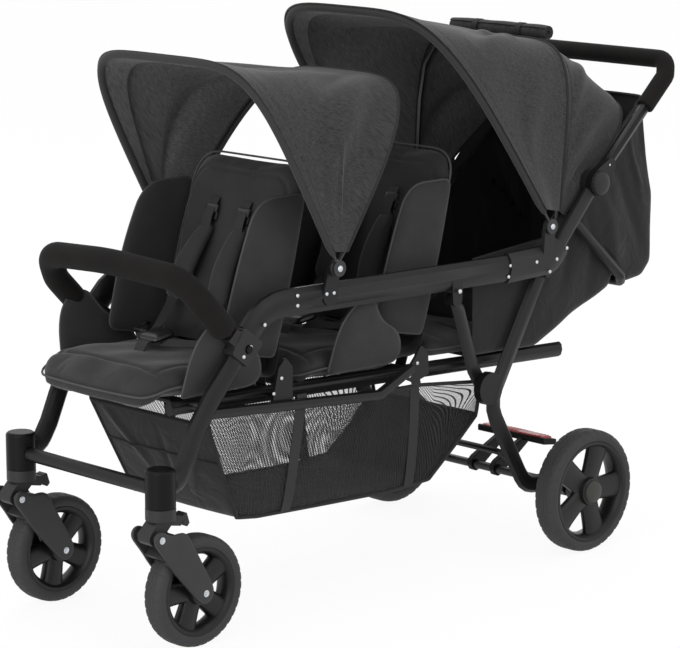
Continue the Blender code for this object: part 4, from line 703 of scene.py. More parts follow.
def cloth_places(points):
    """Texture places in metres: the mean length run along each row and each column of a grid."""
    u = np.cumsum(np.linalg.norm(np.diff(points, axis=1, prepend=points[:, :1]), axis=-1), axis=1)
    v = np.cumsum(np.linalg.norm(np.diff(points, axis=0, prepend=points[:1]), axis=-1), axis=0)
    return np.stack([u, v], -1).reshape(-1, 2)


def cloth_skin(points, thick, inward=False):
    """Closed skin of a cloth: the grid, a copy moved along its normals by the thickness, and a wall that
    joins them round the edge."""
    rows, columns = points.shape[:2]
    other = points + normals(points) * (-thick if inward else thick)
    face = grid(points)[1]
    count = rows * columns
    index = np.arange(count).reshape(rows, columns)
    rim = np.concatenate([index[0, :-1], index[:-1, -1], index[-1, :0:-1], index[:0:-1, 0]])
    after = np.roll(rim, -1)
    walls = np.stack([rim, after, after + count, rim + count], -1)
    skin = np.concatenate([points.reshape(-1, 3), other.reshape(-1, 3)])
    return skin, np.concatenate([face, face[:, ::-1] + count, walls])


def cloth(name, points, material, body=None, stands_for=(), thick=CLOTH_T, inward=False):
    """Piece of cloth on a grid of points, with its texture places."""
    places = cloth_places(points)
    mesh = mesh_of([cloth_skin(points, thick, inward)], marks=np.concatenate([places, places]))
    return show(name, mesh, material, body, stands_for)


def painted_fill_inside(piece, paler_fill, heart):
    """Gives the paler copy, painted light that lifts the shade, to those faces of a canopy's cloth that look towards a
    place under it.
    """
    mesh = piece.data
    mesh.materials.append(paler_fill)
    count = len(mesh.polygons)
    places, facing = np.zeros(count * 3, np.float32), np.zeros(count * 3, np.float32)
    mesh.polygons.foreach_get("center", places)
    mesh.polygons.foreach_get("normal", facing)
    towards = ((places.reshape(-1, 3) - np.asarray(heart)) * facing.reshape(-1, 3)).sum(1)
    mesh.polygons.foreach_set("material_index", (towards < 0).astype(np.int32))


def cut_size(points):
    """Flat size of a cloth: its longest row, its longest column and the area of its cells."""
    rows = np.linalg.norm(np.diff(points, axis=1), axis=-1).sum(1).max()
    columns = np.linalg.norm(np.diff(points, axis=0), axis=-1).sum(0).max()
    one, two = points[1:, 1:] - points[:-1, :-1], points[1:, :-1] - points[:-1, 1:]
    area = np.linalg.norm(np.cross(one, two), axis=-1).sum() / 2
    return (float(min(rows, columns)), float(max(rows, columns))), float(min(area, rows * columns))


def declared(piece, points, held):
    """Works out the flat size that a cloth was cut to, and does nothing more with it."""
    flat, area = cut_size(points)


def ridge(u, v, start, end, width, height):
    """Height of one crease: a bell across the segment from start to end in the cloth's two shares, fading
    out at both ends."""
    du, dv = end[0] - start[0], end[1] - start[1]
    run = ((u - start[0]) * du + (v - start[1]) * dv) / (du * du + dv * dv)
    near = np.clip(run, 0, 1)
    gap = np.hypot(u - start[0] - near * du, v - start[1] - near * dv)
    return height * np.exp(-(gap / width) ** 2) * np.sin(np.pi * np.clip(run * 0.86 + 0.07, 0, 1))


def ripple(u, v, seed, count, low, high, height):
    """Sum of a few long waves in fixed directions and phases, as cloth that isn't quite taut has."""
    rng = np.random.default_rng(seed)
    total = np.zeros(np.broadcast(u, v).shape)
    for turn, phase, pace in zip(rng.uniform(0, math.pi, count), rng.uniform(0, math.tau, count),
                                 rng.uniform(low, high, count)):
        total = total + np.sin((u * math.cos(turn) + v * math.sin(turn)) * pace + phase)
    return total * height / count


def spanned(bows, feet, u, v, sag, lift_front, lift_rear, creases, seed, rough=0.0016):
    """Canopy cloth: each point lies between the same angles of two bows, drawn towards the middle by a sag
    that is greatest between them, and raised by the creases."""
    angle = CANOPY_LOW + (math.pi - 2 * CANOPY_LOW) * u
    front, rear = arch(bows[0], feet[0], angle, lift_front), arch(bows[1], feet[1], angle, lift_rear)
    points = front + (rear - front) * v[..., None]
    middle = at(0.0, (feet[0][0] + feet[1][0]) / 2, (feet[0][1] + feet[1][1]) / 2)
    dip = sag * 4 * v * (1 - v) * np.sin(angle) ** 1.5
    rise = sum(ridge(u, v, *c) for c in creases) if creases else 0.0
    free = np.clip(4 * v * (1 - v), 0, 1) ** 0.7
    rise = rise * free + ripple(u * 2.2, v, seed, 7, 5.0, 16.0, rough) * free
    hem = np.exp(-((v - 0.075) / 0.006) ** 2) + 0.6 * np.exp(-((v - 0.955) / 0.006) ** 2)
    rise = rise - (0.0016 * hem if rough else 0.0)
    return points + unit(middle - points) * (dip - rise)[..., None]


def shares(columns, rows, v_low=0.0, v_high=1.0):
    """Two arrays of shares along and across a cloth."""
    return np.meshgrid(np.linspace(0, 1, columns), np.linspace(v_low, v_high, rows))


def bow_side(bow):
    """Direction square to a bow's plane, which leans forward."""
    return (0.0, math.cos(bow[3]), math.sin(bow[3]))


def bow_skin(bow, foot, radius, lift=0.0, low=0.0, steps=120):
    """Tube along a bow, thinner at its feet, where the bow is pressed flat."""
    angle = np.linspace(low, math.pi - low, steps)
    foot_share = np.clip(np.sin(angle) / 0.12, 0.55, 1.0)
    return tube(arch(bow, foot, angle, lift), radius * foot_share, side=bow_side(bow))


def eyes(bow, foot, radius=0.015, thick=0.007):
    """The flat round eyes of a bow on both sides, each a short turned disc with rounded edges."""
    half = thick / 2
    profile = [(0, -half), (radius - 0.001, -half), (radius, -half + 0.001), (radius, half - 0.001),
               (radius - 0.001, half), (0, half)]
    return [turned(profile, at(s * bow[0], *foot), 28) for s in (1, -1)]


feet = (FRONT_CLAMP, FRONT_CLAMP)
creases = [((0.16, 0.42), (0.34, 0.93), 0.040, 0.0150), ((0.10, 0.30), (0.25, 0.80), 0.030, 0.0090),
           ((0.19, 0.70), (0.24, 0.98), 0.026, -0.0080), ((0.28, 0.20), (0.40, 0.85), 0.040, 0.0100),
           ((0.24, 0.48), (0.40, 0.90), 0.024, -0.0090), ((0.06, 0.50), (0.17, 0.52), 0.020, 0.0060),
           ((0.46, 0.30), (0.52, 0.92), 0.040, 0.0060), ((0.70, 0.25), (0.60, 0.90), 0.040, 0.0100),
           ((0.86, 0.45), (0.68, 0.92), 0.036, 0.0140), ((0.92, 0.40), (0.78, 0.66), 0.026, 0.0080)]
u, v = shares(190, 64)
cover_points = spanned((FRONT_BOW, REAR_BOW), feet, u, v, SAG, BOW_LIFT + 0.0008, BOW_LIFT, creases, 11)
front_cover = cloth("front_canopy_cloth", cover_points, canopy_cloth, stands_for=["front_canopy_cover"])
# The faces under the front cover take the paler copy: painted light in its shade
painted_fill_inside(front_cover, canopy_painted_fill, at(0.0, *FRONT_CLAMP))
u, v = shares(150, 7, 0.0, FACING_SHARE)
facing_points = spanned((FRONT_BOW, REAR_BOW), feet, u, v, SAG, -BOW_LIFT + 0.0020, -BOW_LIFT + 0.0075, (), 11, 0.0)
# The facing takes the paler copy too: painted light
front_facing = cloth("front_canopy_facing", facing_points, canopy_painted_fill, thick=0.0010)
rear_edge = arch(REAR_BOW, FRONT_CLAMP, np.linspace(CANOPY_LOW, math.pi - CANOPY_LOW, 130), BOW_LIFT + 0.001)
show("front_canopy_rear_binding", mesh_of([tube(rear_edge, 0.0030, 10, side=bow_side(REAR_BOW))]), binding,
     "front_canopy")
show("front_canopy_sleeve", mesh_of([bow_skin(FRONT_BOW, FRONT_CLAMP, BOW_SHEATH_R + 0.0012, low=math.radians(4))]),
     canopy_cloth, "front_canopy_brow")
show("front_canopy_rear_tube", mesh_of([bow_skin(REAR_BOW, FRONT_CLAMP, 0.0055)] + eyes(REAR_BOW, FRONT_CLAMP)),
     moulded_black, "front_canopy", ["front_canopy_rear_bow"])
show("front_canopy_front_tube", mesh_of([bow_skin(FRONT_BOW, FRONT_CLAMP, 0.0052)] + eyes(FRONT_BOW, FRONT_CLAMP)),
     moulded_black, "front_canopy_brow", ["front_canopy_front_bow"])
bend_from = arch(FRONT_BOW, FRONT_CLAMP, np.array(math.pi / 2)) * [0, 1, 1]
bend_to = arch(REAR_BOW, FRONT_CLAMP, np.array(math.pi / 2)) * [0, 1, 1]
hinge = at(0.0, *FRONT_CLAMP)
for part, points, hung in ((front_cover, cover_points, "stretched"), (front_facing, facing_points, "stretched")):
    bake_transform(part)
    declared(part, points, hung)
show("front_clamp_bolts", mesh_of(heads([FRONT_CLAMP], 0.2340, 0.0062, 0.0030)), zinc_steel, "front_canopy_brow")
show("front_clamp_rivets", mesh_of(heads([(0.2990, 0.5890), (0.3170, 0.5885)], 0.2192)), zinc_steel, "frame")

# Rear canopy
# The same cloth over three bows: a hood that swings forward, a fixed middle bow and a rear panel that
# runs down to the handle posts. A rolled rain flap is tied to its top.
REAR_CLAMP, MID_FOOT = (0.894, 0.642), (0.944, 0.632)
HOOD_BOW = (0.2223, 0.242, 0.534, math.radians(38.2), 4.4)
MID_BOW = (0.187, 0.200, 0.349, math.radians(-3.9), 5.5)
REAR_RIM = (0.181, 0.172, 0.338, math.radians(-50.5), 4.5)
ROLL_AT, ROLL_R, ROLL_HALF = (0.985, 0.9992), 0.0165, 0.127

feet = (REAR_CLAMP, MID_FOOT)
creases = [((0.20, 0.10), (0.34, 0.95), 0.036, 0.0120), ((0.25, 0.30), (0.40, 0.85), 0.026, -0.0080),
           ((0.10, 0.30), (0.22, 0.88), 0.026, 0.0080), ((0.44, 0.12), (0.41, 0.92), 0.045, 0.0090),
           ((0.30, 0.72), (0.46, 0.80), 0.030, 0.0080), ((0.34, 0.86), (0.62, 0.88), 0.030, -0.0060),
           ((0.58, 0.15), (0.64, 0.88), 0.045, 0.0080), ((0.80, 0.15), (0.68, 0.92), 0.036, 0.0120),
           ((0.90, 0.30), (0.80, 0.85), 0.026, 0.0080)]
u, v = shares(220, 72)
hood_points = spanned((HOOD_BOW, MID_BOW), feet, u, v, 0.013, BOW_LIFT + 0.0035, BOW_LIFT, creases, 5, 0.0022)
hood = cloth("rear_canopy_hood_cloth", hood_points, canopy_cloth, stands_for=["rear_canopy_hood"])
# The faces under the hood take the paler copy: painted light in its shade
painted_fill_inside(hood, canopy_painted_fill, at(0.0, *REAR_CLAMP))
u, v = shares(170, 7, 0.0, 0.10)
hood_facing_points = spanned((HOOD_BOW, MID_BOW), feet, u, v, 0.013, -BOW_LIFT + 0.0020, -BOW_LIFT + 0.0065, (), 5, 0.0)
# The hood's facing takes the paler copy too: painted light
hood_facing = cloth("rear_canopy_facing", hood_facing_points, canopy_painted_fill, thick=0.0010)
show("rear_canopy_sleeve", mesh_of([bow_skin(HOOD_BOW, REAR_CLAMP, BOW_SHEATH_R + 0.0012, low=math.radians(4))]),
     canopy_cloth, "rear_canopy_brow")
show("rear_canopy_front_tube", mesh_of([bow_skin(HOOD_BOW, REAR_CLAMP, 0.0052)] + eyes(HOOD_BOW, REAR_CLAMP)),
     moulded_black, "rear_canopy_brow", ["rear_canopy_front_bow"])
refined("rear_canopy_mid_bow", "rear_canopy_mid_tube", moulded_black)
bend_from = arch(HOOD_BOW, REAR_CLAMP, np.array(math.pi / 2)) * [0, 1, 1]
bend_to = arch(MID_BOW, MID_FOOT, np.array(math.pi / 2)) * [0, 1, 1]
hinge = at(0.0, *REAR_CLAMP)
for part, points in ((hood, hood_points), (hood_facing, hood_facing_points)):
    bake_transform(part)
    declared(part, points, "stretched")

creases = [((0.08, 0.10), (0.28, 0.95), 0.036, 0.0160), ((0.05, 0.40), (0.18, 0.98), 0.028, -0.0100),
           ((0.14, 0.05), (0.36, 0.60), 0.030, 0.0090), ((0.30, 0.10), (0.38, 0.92), 0.040, 0.0100),
           ((0.64, 0.10), (0.60, 0.92), 0.040, 0.0090), ((0.92, 0.12), (0.72, 0.95), 0.036, 0.0150),
           ((0.47, 0.15), (0.53, 0.95), 0.036, -0.0070)]
u, v = shares(200, 60, 0.008, 1.0)
back_points = spanned((MID_BOW, REAR_RIM), (MID_FOOT, MID_FOOT), u, v, 0.0, BOW_LIFT, BOW_LIFT, creases, 9, 0.0030)
rear_back = cloth("rear_canopy_back_cloth", back_points, canopy_cloth, "frame", ["rear_canopy_back"])
declared(rear_back, back_points, "stretched")
# The faces under the back panel take the paler copy: painted light in its shade
painted_fill_inside(rear_back, canopy_painted_fill, at(0.0, *MID_FOOT))
angle = np.linspace(CANOPY_LOW, math.pi - CANOPY_LOW, 140)
show("rear_canopy_mid_binding", mesh_of([tube(arch(MID_BOW, MID_FOOT, angle, BOW_LIFT + 0.0012), 0.0034, 10,
     side=bow_side(MID_BOW))]), binding, "frame")
show("rear_canopy_rim_binding", mesh_of([tube(arch(REAR_RIM, MID_FOOT, angle, BOW_LIFT + 0.0012), 0.0030, 10,
     side=bow_side(REAR_RIM))]), binding, "frame")
show("rear_clamp_bolts", mesh_of(heads([REAR_CLAMP], 0.2258, 0.0060, 0.0030)), zinc_steel, "rear_canopy_brow")

# The rolled flap: a spiral of cloth, four turns deep, squeezed a little where its two ties hold it
across = np.linspace(-1, 1, 120)[:, None]
turns = np.linspace(0, 1, 150)[None, :]
spiral = ROLL_R * (0.30 + 0.70 * turns) - 0.0012
ends = 1 - 0.10 * across ** 8
tied = 1 - 0.10 * (np.exp(-((across - 0.45) / 0.06) ** 2) + np.exp(-((across + 0.45) / 0.06) ** 2))
wave = 1 + 0.03 * np.sin(across * 9 + turns * 20) * turns
angle = turns * math.tau * 4 + 2.4
roll_points = at(across * ROLL_HALF * np.ones_like(turns), ROLL_AT[0] + spiral * tied * wave * ends * np.cos(angle),
                 ROLL_AT[1] + spiral * tied * wave * ends * np.sin(angle))
roll = cloth("rolled_flap", roll_points, canopy_cloth, "frame", ["canopy_roll"], thick=0.0011)
declared(roll, roll_points, "folded")
ties = []
for x in (0.45, -0.45):
    ring = np.linspace(0, math.tau, 40)
    flat = at(x * ROLL_HALF, ROLL_AT[0] + (ROLL_R * 0.96) * np.cos(ring), ROLL_AT[1] + (ROLL_R * 0.96) * np.sin(ring))
    wide = np.stack([flat + [w, 0, 0] for w in (-0.007, 0.007)])
    ties.append(cloth_skin(wide, 0.0012))
show("flap_ties", mesh_of(ties), binding, "frame")

# Seats
# Padded polyester pans, side guards and reclining backs with wings, each sewn from two faces over foam
# and finished with piping. The pans are strapped to the seat rails, the backs to the cross tubes.
PAN_PITCH, BACK_PITCH, SEAT_DROP = 0.352, 0.378, 0.012
SEAT_LINE, SEAT_FALL = (-0.045, 0.4345), 0.044
BACK_FOOT, BACK_LEAN, BACK_T, WING_RISE = (0.199, 0.470), math.radians(18.5), 0.034, 0.6
PAN_BASE, PAN_T, LIP = 0.0018, 0.046, 0.020
PAN_OUTLINE = ([(-0.162, -0.064), (0.162, -0.064), (0.160, 0.203), (-0.160, 0.203)], [0.040, 0.040, 0.018, 0.018])
BACK_OUTLINE = ([(-0.148, 0.000), (0.148, 0.000), (0.150, 0.200), (0.146, 0.356), (-0.146, 0.356), (-0.150, 0.200)],
                [0.016, 0.016, 0.20, 0.058, 0.058, 0.20])
WING_OUTLINE = ([(-0.034, 0.004), (0.104, 0.004), (0.113, 0.150), (0.100, 0.280), (-0.016, 0.303)],
                [0.010, 0.022, 0.12, 0.048, 0.020])
GUARD_OUTLINE = ([(0.003, 0.436), (0.190, 0.434), (0.178, 0.492), (0.118, 0.524), (0.090, 0.570), (0.048, 0.570),
                  (0.013, 0.528)], [0.008, 0.040, 0.040, 0.030, 0.022, 0.026, 0.040])
PIPING_R = 0.0021

# Oxford polyester: a plain weave, drawn at 2.6 mm so that it shows, over a soft change of tone
seat_cloth, tree, shader = finish("oxford_polyester", 0.88, Sheen_Weight=0.18, Sheen_Roughness=0.4)
shader.inputs["Specular IOR Level"].default_value = 0.25
coords = node(tree, "TexCoord").outputs["Object"]
broad = node(tree, "TexNoise", {"Scale": 22.0, "Detail": 3.0}, {"Vector": coords})
tone = node(tree, "Mix", {6: linear("222222"), 7: linear("2f2f2f")}, {0: broad.outputs[0]}, data_type="RGBA")
tree.links.new(tone.outputs[2], shader.inputs["Base Color"])
warp = node(tree, "TexWave", {"Scale": math.tau / 20 / 0.0026, "Distortion": 0.6}, {"Vector": coords},
            bands_direction="X")
weft = node(tree, "TexWave", {"Scale": math.tau / 20 / 0.0026, "Distortion": 0.6}, {"Vector": coords},
            bands_direction="Z")
threads = node(tree, "Math", links={0: warp.outputs[1], 1: weft.outputs[1]}, operation="ADD")
folds = node(tree, "TexNoise", {"Scale": 16.0, "Detail": 2.0, "Roughness": 0.45}, {"Vector": coords})
creased = node(tree, "Bump", {"Strength": 0.30, "Distance": 0.006}, {"Height": folds.outputs[0]})
bump = node(tree, "Bump", {"Strength": 0.30, "Distance": 0.00025},
            {"Height": threads.outputs[0], "Normal": creased.outputs[0]})
tree.links.new(bump.outputs[0], shader.inputs["Normal"])
piping_cloth = grained("piping_tape", "313131", "3d3d3d", 2.4, 0.00025, 0.80, 0.08)
webbing = grained("woven_webbing", "111111", "1a1a1a", 2.6, 0.00030, 0.72, 0.08)
buckle_plastic = grained("buckle_acetal", "0e0e0e", "151515", 1.6, 0.00008, 0.32, 0.06)


def seat_line(y):
    """Height of the tops of the seat rails, which fall towards the rear."""
    return SEAT_LINE[1] - SEAT_FALL * (np.asarray(y) - SEAT_LINE[0])


def outline(corners, radii, count=128):
    """Closed line of evenly spaced points round corners that are cut by quadratic curves as wide as their
    radii."""
    corners = np.asarray(corners, float)
    share = np.linspace(0, 1, 9)[:, None]
    rounds = []
    for k, (corner, radius) in enumerate(zip(corners, radii)):
        before, after = corners[k - 1] - corner, corners[(k + 1) % len(corners)] - corner
        a = corner + before * min(0.48, radius / np.linalg.norm(before))
        b = corner + after * min(0.48, radius / np.linalg.norm(after))
        rounds.append((1 - share) ** 2 * a + 2 * share * (1 - share) * corner + share ** 2 * b)
    line = np.concatenate(rounds + [rounds[0][:1]])
    run = np.concatenate([[0], np.cumsum(np.linalg.norm(np.diff(line, axis=0), axis=1))])
    stops = np.linspace(0, run[-1], count, endpoint=False)
    return np.stack([np.interp(stops, run, line[:, 0]), np.interp(stops, run, line[:, 1])], -1)


def bolster(line, place, half, crown=0.0, relief=None, rings=18, square=7.0):
    """Closed pad over an outline: rings shrink from the line to its middle, and the two faces stand off the
    middle surface by half * sqrt(1 - m^square) at the share m from the middle; the crown lifts the front."""
    middle = line.mean(0)
    m = 1 - np.linspace(0, 1, rings) ** 1.6
    flat = middle + m[:, None, None] * (line - middle)
    thick = half * np.sqrt(np.clip(1 - m ** square, 0, 1))[:, None] * np.ones(len(line))
    p, q = flat[..., 0], flat[..., 1]
    raised = thick + crown * ((1 - m ** 2) ** 0.8)[:, None]
    if relief is not None:
        raised = raised + relief(p, q) * np.clip((1 - m) / 0.08, 0, 1)[:, None]
    return [grid(place(p, q, raised), around=True), grid(place(p, q, -thick), around=True)]


def piped(line, place, radius=PIPING_R):
    """Piping: a cord along an outline."""
    closed = np.concatenate([line, line[:3]])
    cord = place(closed[:, 0], closed[:, 1], np.zeros(len(closed)))
    return tube(cord, radius, 8, ends=False, side=(0.31, 0.52, 0.79))


def ribbon(line, across, width, thick=0.0013):
    """Webbing along a line, as wide as given in the direction across."""
    line, across = np.asarray(line, float), unit(np.asarray(across, float))
    wide = np.stack([line + across * w for w in np.linspace(-width / 2, width / 2, 5)])
    return cloth_skin(wide, thick)


def curve(points, count=24):
    """Smooth line through a few points: cubic, with each point's slope taken from its neighbours."""
    points = np.asarray(points, float)
    slope = np.gradient(points, axis=0)
    place = np.linspace(0, len(points) - 1, count)
    k = np.minimum(place.astype(int), len(points) - 2)
    t = (place - k)[:, None]
    return ((2 * t ** 3 - 3 * t ** 2 + 1) * points[k] + (t ** 3 - 2 * t ** 2 + t) * slope[k]
            + (3 * t ** 2 - 2 * t ** 3) * points[k + 1] + (t ** 3 - t ** 2) * slope[k + 1])


def swelled(mesh, voxel=0.005, pressure=4.0, cap=0.010, frames=20):
    """Pad blown up as a cloth: remeshed, pressed outwards for some frames, each point kept within the cap of
    its start, and left as a plain mesh."""
    made = bpy.data.objects.new("swelling", mesh)
    scene.collection.objects.link(made)
    remesh = made.modifiers.new("remesh", "REMESH")
    remesh.mode, remesh.voxel_size = "VOXEL", voxel
    graph = bpy.context.evaluated_depsgraph_get()
    base = bpy.data.meshes.new_from_object(made.evaluated_get(graph))
    made.modifiers.clear()
    made.data = base
    start = np.zeros(len(base.vertices) * 3)
    base.vertices.foreach_get("co", start)
    blown = made.modifiers.new("cloth", "CLOTH")
    blown.settings.use_pressure = True
    blown.settings.uniform_pressure_force = pressure
    blown.settings.effector_weights.gravity = 0.0
    for frame_number in range(1, frames + 1):
        scene.frame_set(frame_number)
    graph = bpy.context.evaluated_depsgraph_get()
    after = bpy.data.meshes.new_from_object(made.evaluated_get(graph))
    end = np.zeros(len(base.vertices) * 3)
    after.vertices.foreach_get("co", end)
    made.modifiers.clear()
    scene.frame_set(1)
    move = (end - start).reshape(-1, 3)
    far = np.linalg.norm(move, axis=1, keepdims=True)
    move *= np.minimum(1.0, cap / np.maximum(far, 1e-9))
    base.vertices.foreach_set("co", (start.reshape(-1, 3) + move).ravel())
    copied = base.copy()
    bpy.data.objects.remove(made)
    return copied


def on_back(seat, side=0):
    """Places on a back: across, up along it and out from its face; or, for a wing on one side, forward from
    the face, up, and out sideways."""
    s, c = math.sin(BACK_LEAN), math.cos(BACK_LEAN)
    foot_y, foot_z = BACK_FOOT[0] + BACK_PITCH * seat, BACK_FOOT[1] - SEAT_DROP * seat + BACK_T * s * WING_RISE

    def place(p, q, h):
        """Place at p across or forwards, q up the lean and h out of the face."""
        if side:
            bow = 0.004 * np.sin(np.clip(q / 0.3, 0, 1) * math.pi)
            return at(side * (0.151 + bow + h), foot_y + q * s - p * c, foot_z + q * c + p * s * WING_RISE)
        out = h - BACK_T / 2
        return at(p, foot_y + q * s - out * c, foot_z + q * c + out * s * WING_RISE)
    return place


def on_pan(seat):
    """Places on a pan: across, behind its front, and up from the middle of its thickness; its nose droops."""
    def place(p, q, h):
        """Place at p across, q behind the front and h up, drawn down and in towards the nose."""
        nose = np.clip((0.02 - q) / 0.084, 0, 1) ** 2
        y = q + PAN_PITCH * seat
        lip = LIP * np.clip((-0.030 - q) / 0.030, 0, 1) * (1 if seat == 0 else 0.35)
        z = seat_line(y) + PAN_BASE + PAN_T / 2 + h - 0.010 * nose - lip * np.where(h < 0, 1.0, 0.35) - 0.004 * seat
        return at(p * (1 - 0.03 * nose), y - 0.012 * nose * (1 - (p / 0.162) ** 2), z)
    return place


def pan_relief(p, q):
    """Seams of a pan: one 40 mm behind its front edge, and one along each side."""
    front = np.exp(-((q + 0.024 + 0.05 * (p / 0.162) ** 2 * 0.1) / 0.0035) ** 2)
    sides = np.exp(-((np.abs(p) - 0.128) / 0.0035) ** 2) * (q > -0.024)
    soft = 0.0025 * np.sin(p * 55 + 1.0) * np.sin(q * 38 + 0.6)
    return -0.0045 * front - 0.0030 * sides + soft


def back_relief(p, q):
    """Seams of a back: one follows its edge 24 mm inside it, and soft hollows lie where the child leans."""
    edge = np.minimum(0.150 - np.abs(p), 0.356 - q)
    edge = np.where((np.abs(p) > 0.09) & (q > 0.29), 0.062 - np.hypot(np.abs(p) - 0.088, q - 0.294), edge)
    soft = 0.0028 * np.sin(p * 34 + 0.5) * np.sin(q * 26 + 1.9) - 0.004 * np.exp(-((q - 0.06) / 0.04) ** 2)
    return -0.0040 * np.exp(-((edge - 0.024) / 0.0035) ** 2) + soft


def moved(mesh, y, z):
    """Copy of a mesh, moved back and up."""
    copied = mesh.copy()
    points = np.zeros(len(copied.vertices) * 3)
    copied.vertices.foreach_get("co", points)
    copied.vertices.foreach_set("co", (points.reshape(-1, 3) + [0.0, y, z]).ravel())
    return copied


def grooved(mesh, place_of, relief, depth=1.0):
    """Presses the seams into the front of a swelled pad: relief is worked out from each point's own place."""
    points = np.zeros(len(mesh.vertices) * 3)
    normal = np.zeros(len(mesh.vertices) * 3)
    mesh.vertices.foreach_get("co", points)
    mesh.vertex_normals.foreach_get("vector", normal)
    points, normal = points.reshape(-1, 3), normal.reshape(-1, 3)
    p, q, facing = place_of(points, normal)
    push = relief(p, q) * np.clip(facing * 2.5 - 0.8, 0, 1) * depth
    mesh.vertices.foreach_set("co", (points + normal * push[:, None]).ravel())
    return mesh


def pan_place(points, normal):
    """Across, behind the front and how far up each point of a pan faces."""
    return points[:, 0], points[:, 1] + BEHIND_AXLE, normal[:, 2]


def back_place(points, normal):
    """Across, up along the back and how far forward each point of a back faces."""
    s, c = math.sin(BACK_LEAN), math.cos(BACK_LEAN)
    run = (points[:, 1] + BEHIND_AXLE - BACK_FOOT[0]) * s + (points[:, 2] - BACK_FOOT[1]) * c
    return points[:, 0], run, -normal[:, 1] * c + normal[:, 2] * s


pan_line, back_line = outline(*PAN_OUTLINE), outline(*BACK_OUTLINE)
wing_line, guard_line = outline(*WING_OUTLINE), outline(*GUARD_OUTLINE, count=140)
pan_mesh = mesh_of(bolster(pan_line, on_pan(0), PAN_T / 2 - 0.002, crown=0.008, square=9.0))
pan_mesh = grooved(swelled(pan_mesh, cap=0.005), pan_place, pan_relief)
back_mesh = mesh_of(bolster(back_line, on_back(0), BACK_T / 2 - 0.002, crown=0.008))
back_mesh = grooved(swelled(back_mesh, cap=0.006), back_place, back_relief)

for seat in (0, 1):
    number = str(seat + 1)
    fall = -SEAT_FALL * PAN_PITCH * seat - 0.004 * seat
    pan = show("seat_" + number + "_cushion", moved(pan_mesh, PAN_PITCH * seat, fall), seat_cloth, "frame",
               ["seat_" + number + "_pan"], sharp=math.pi)
    back = show("seat_" + number + "_backrest", moved(back_mesh, BACK_PITCH * seat, -SEAT_DROP * seat), seat_cloth,
                "back_" + number, ["seat_" + number + "_back"], sharp=math.pi)
    for piece in (pan, back):
        smooth = piece.modifiers.new("smooth", "SUBSURF")
        smooth.levels = smooth.render_levels = 1

    def on_guard(side, shift=PAN_PITCH * seat, drop=SEAT_DROP * seat):
        """Places on a guard: behind the front, up, and out sideways; it leans outwards as it rises."""
        return lambda p, q, h: at(side * (0.1655 + 0.25 * (q - 0.4525) + h), p + shift, q - drop)

    cords_pan = [piped(pan_line, on_pan(seat))]
    cords_back = [piped(back_line, on_back(seat))]
    for side, s in (("left", 1), ("right", -1)):
        wing = show("seat_" + number + "_wing_" + side, mesh_of(bolster(wing_line, on_back(seat, s), 0.0095, 0.003,
                    square=5.0)), seat_cloth, "back_" + number, sharp=math.pi)
        guard = show("seat_" + number + "_guard_" + side, mesh_of(bolster(guard_line, on_guard(s), 0.0080, 0.002,
                     square=5.0)), seat_cloth, "frame", sharp=math.pi)
        cords_pan.append(piped(guard_line, on_guard(s)))
        cords_back.append(piped(wing_line, on_back(seat, s)))
    show("seat_" + number + "_pan_piping", mesh_of(cords_pan), piping_cloth, "frame")
    show("seat_" + number + "_back_piping", mesh_of(cords_back), piping_cloth, "back_" + number)

# Harness
# Five-point harness of woven webbing with two puffy shoulder covers, ladder adjusters under the slots,
# lap straps with loops, and a moulded buckle on the crotch strap. It is sewn to the back and the pan.
COVER_OUTLINE = ([(-0.025, 0.078), (0.025, 0.078), (0.027, 0.150), (0.017, 0.222), (-0.017, 0.222), (-0.027, 0.150)],
                 [0.020, 0.020, 0.06, 0.014, 0.014, 0.06])
PLATE_OUTLINE = ([(-0.016, -0.011), (0.016, -0.011), (0.016, 0.011), (-0.016, 0.011)], [0.004] * 4)
BUCKLE_OUTLINE = ([(-0.024, -0.026), (0.024, -0.026), (0.030, 0.020), (-0.030, 0.020)], [0.008, 0.008, 0.012, 0.012])
SEAT_STEP = 0.0155
CROSS_TUBES = (0.225, 0.576)
cover_line, plate_line = outline(*COVER_OUTLINE, count=72), outline(*PLATE_OUTLINE, count=40)
buckle_line = outline(*BUCKLE_OUTLINE, count=56)


def on_seat(seat, x, y, z):
    """Place given for seat 1, moved back by the pitch of the pans and down by the step for seat 2."""
    return at(x, y + PAN_PITCH * seat, z - SEAT_STEP * seat)


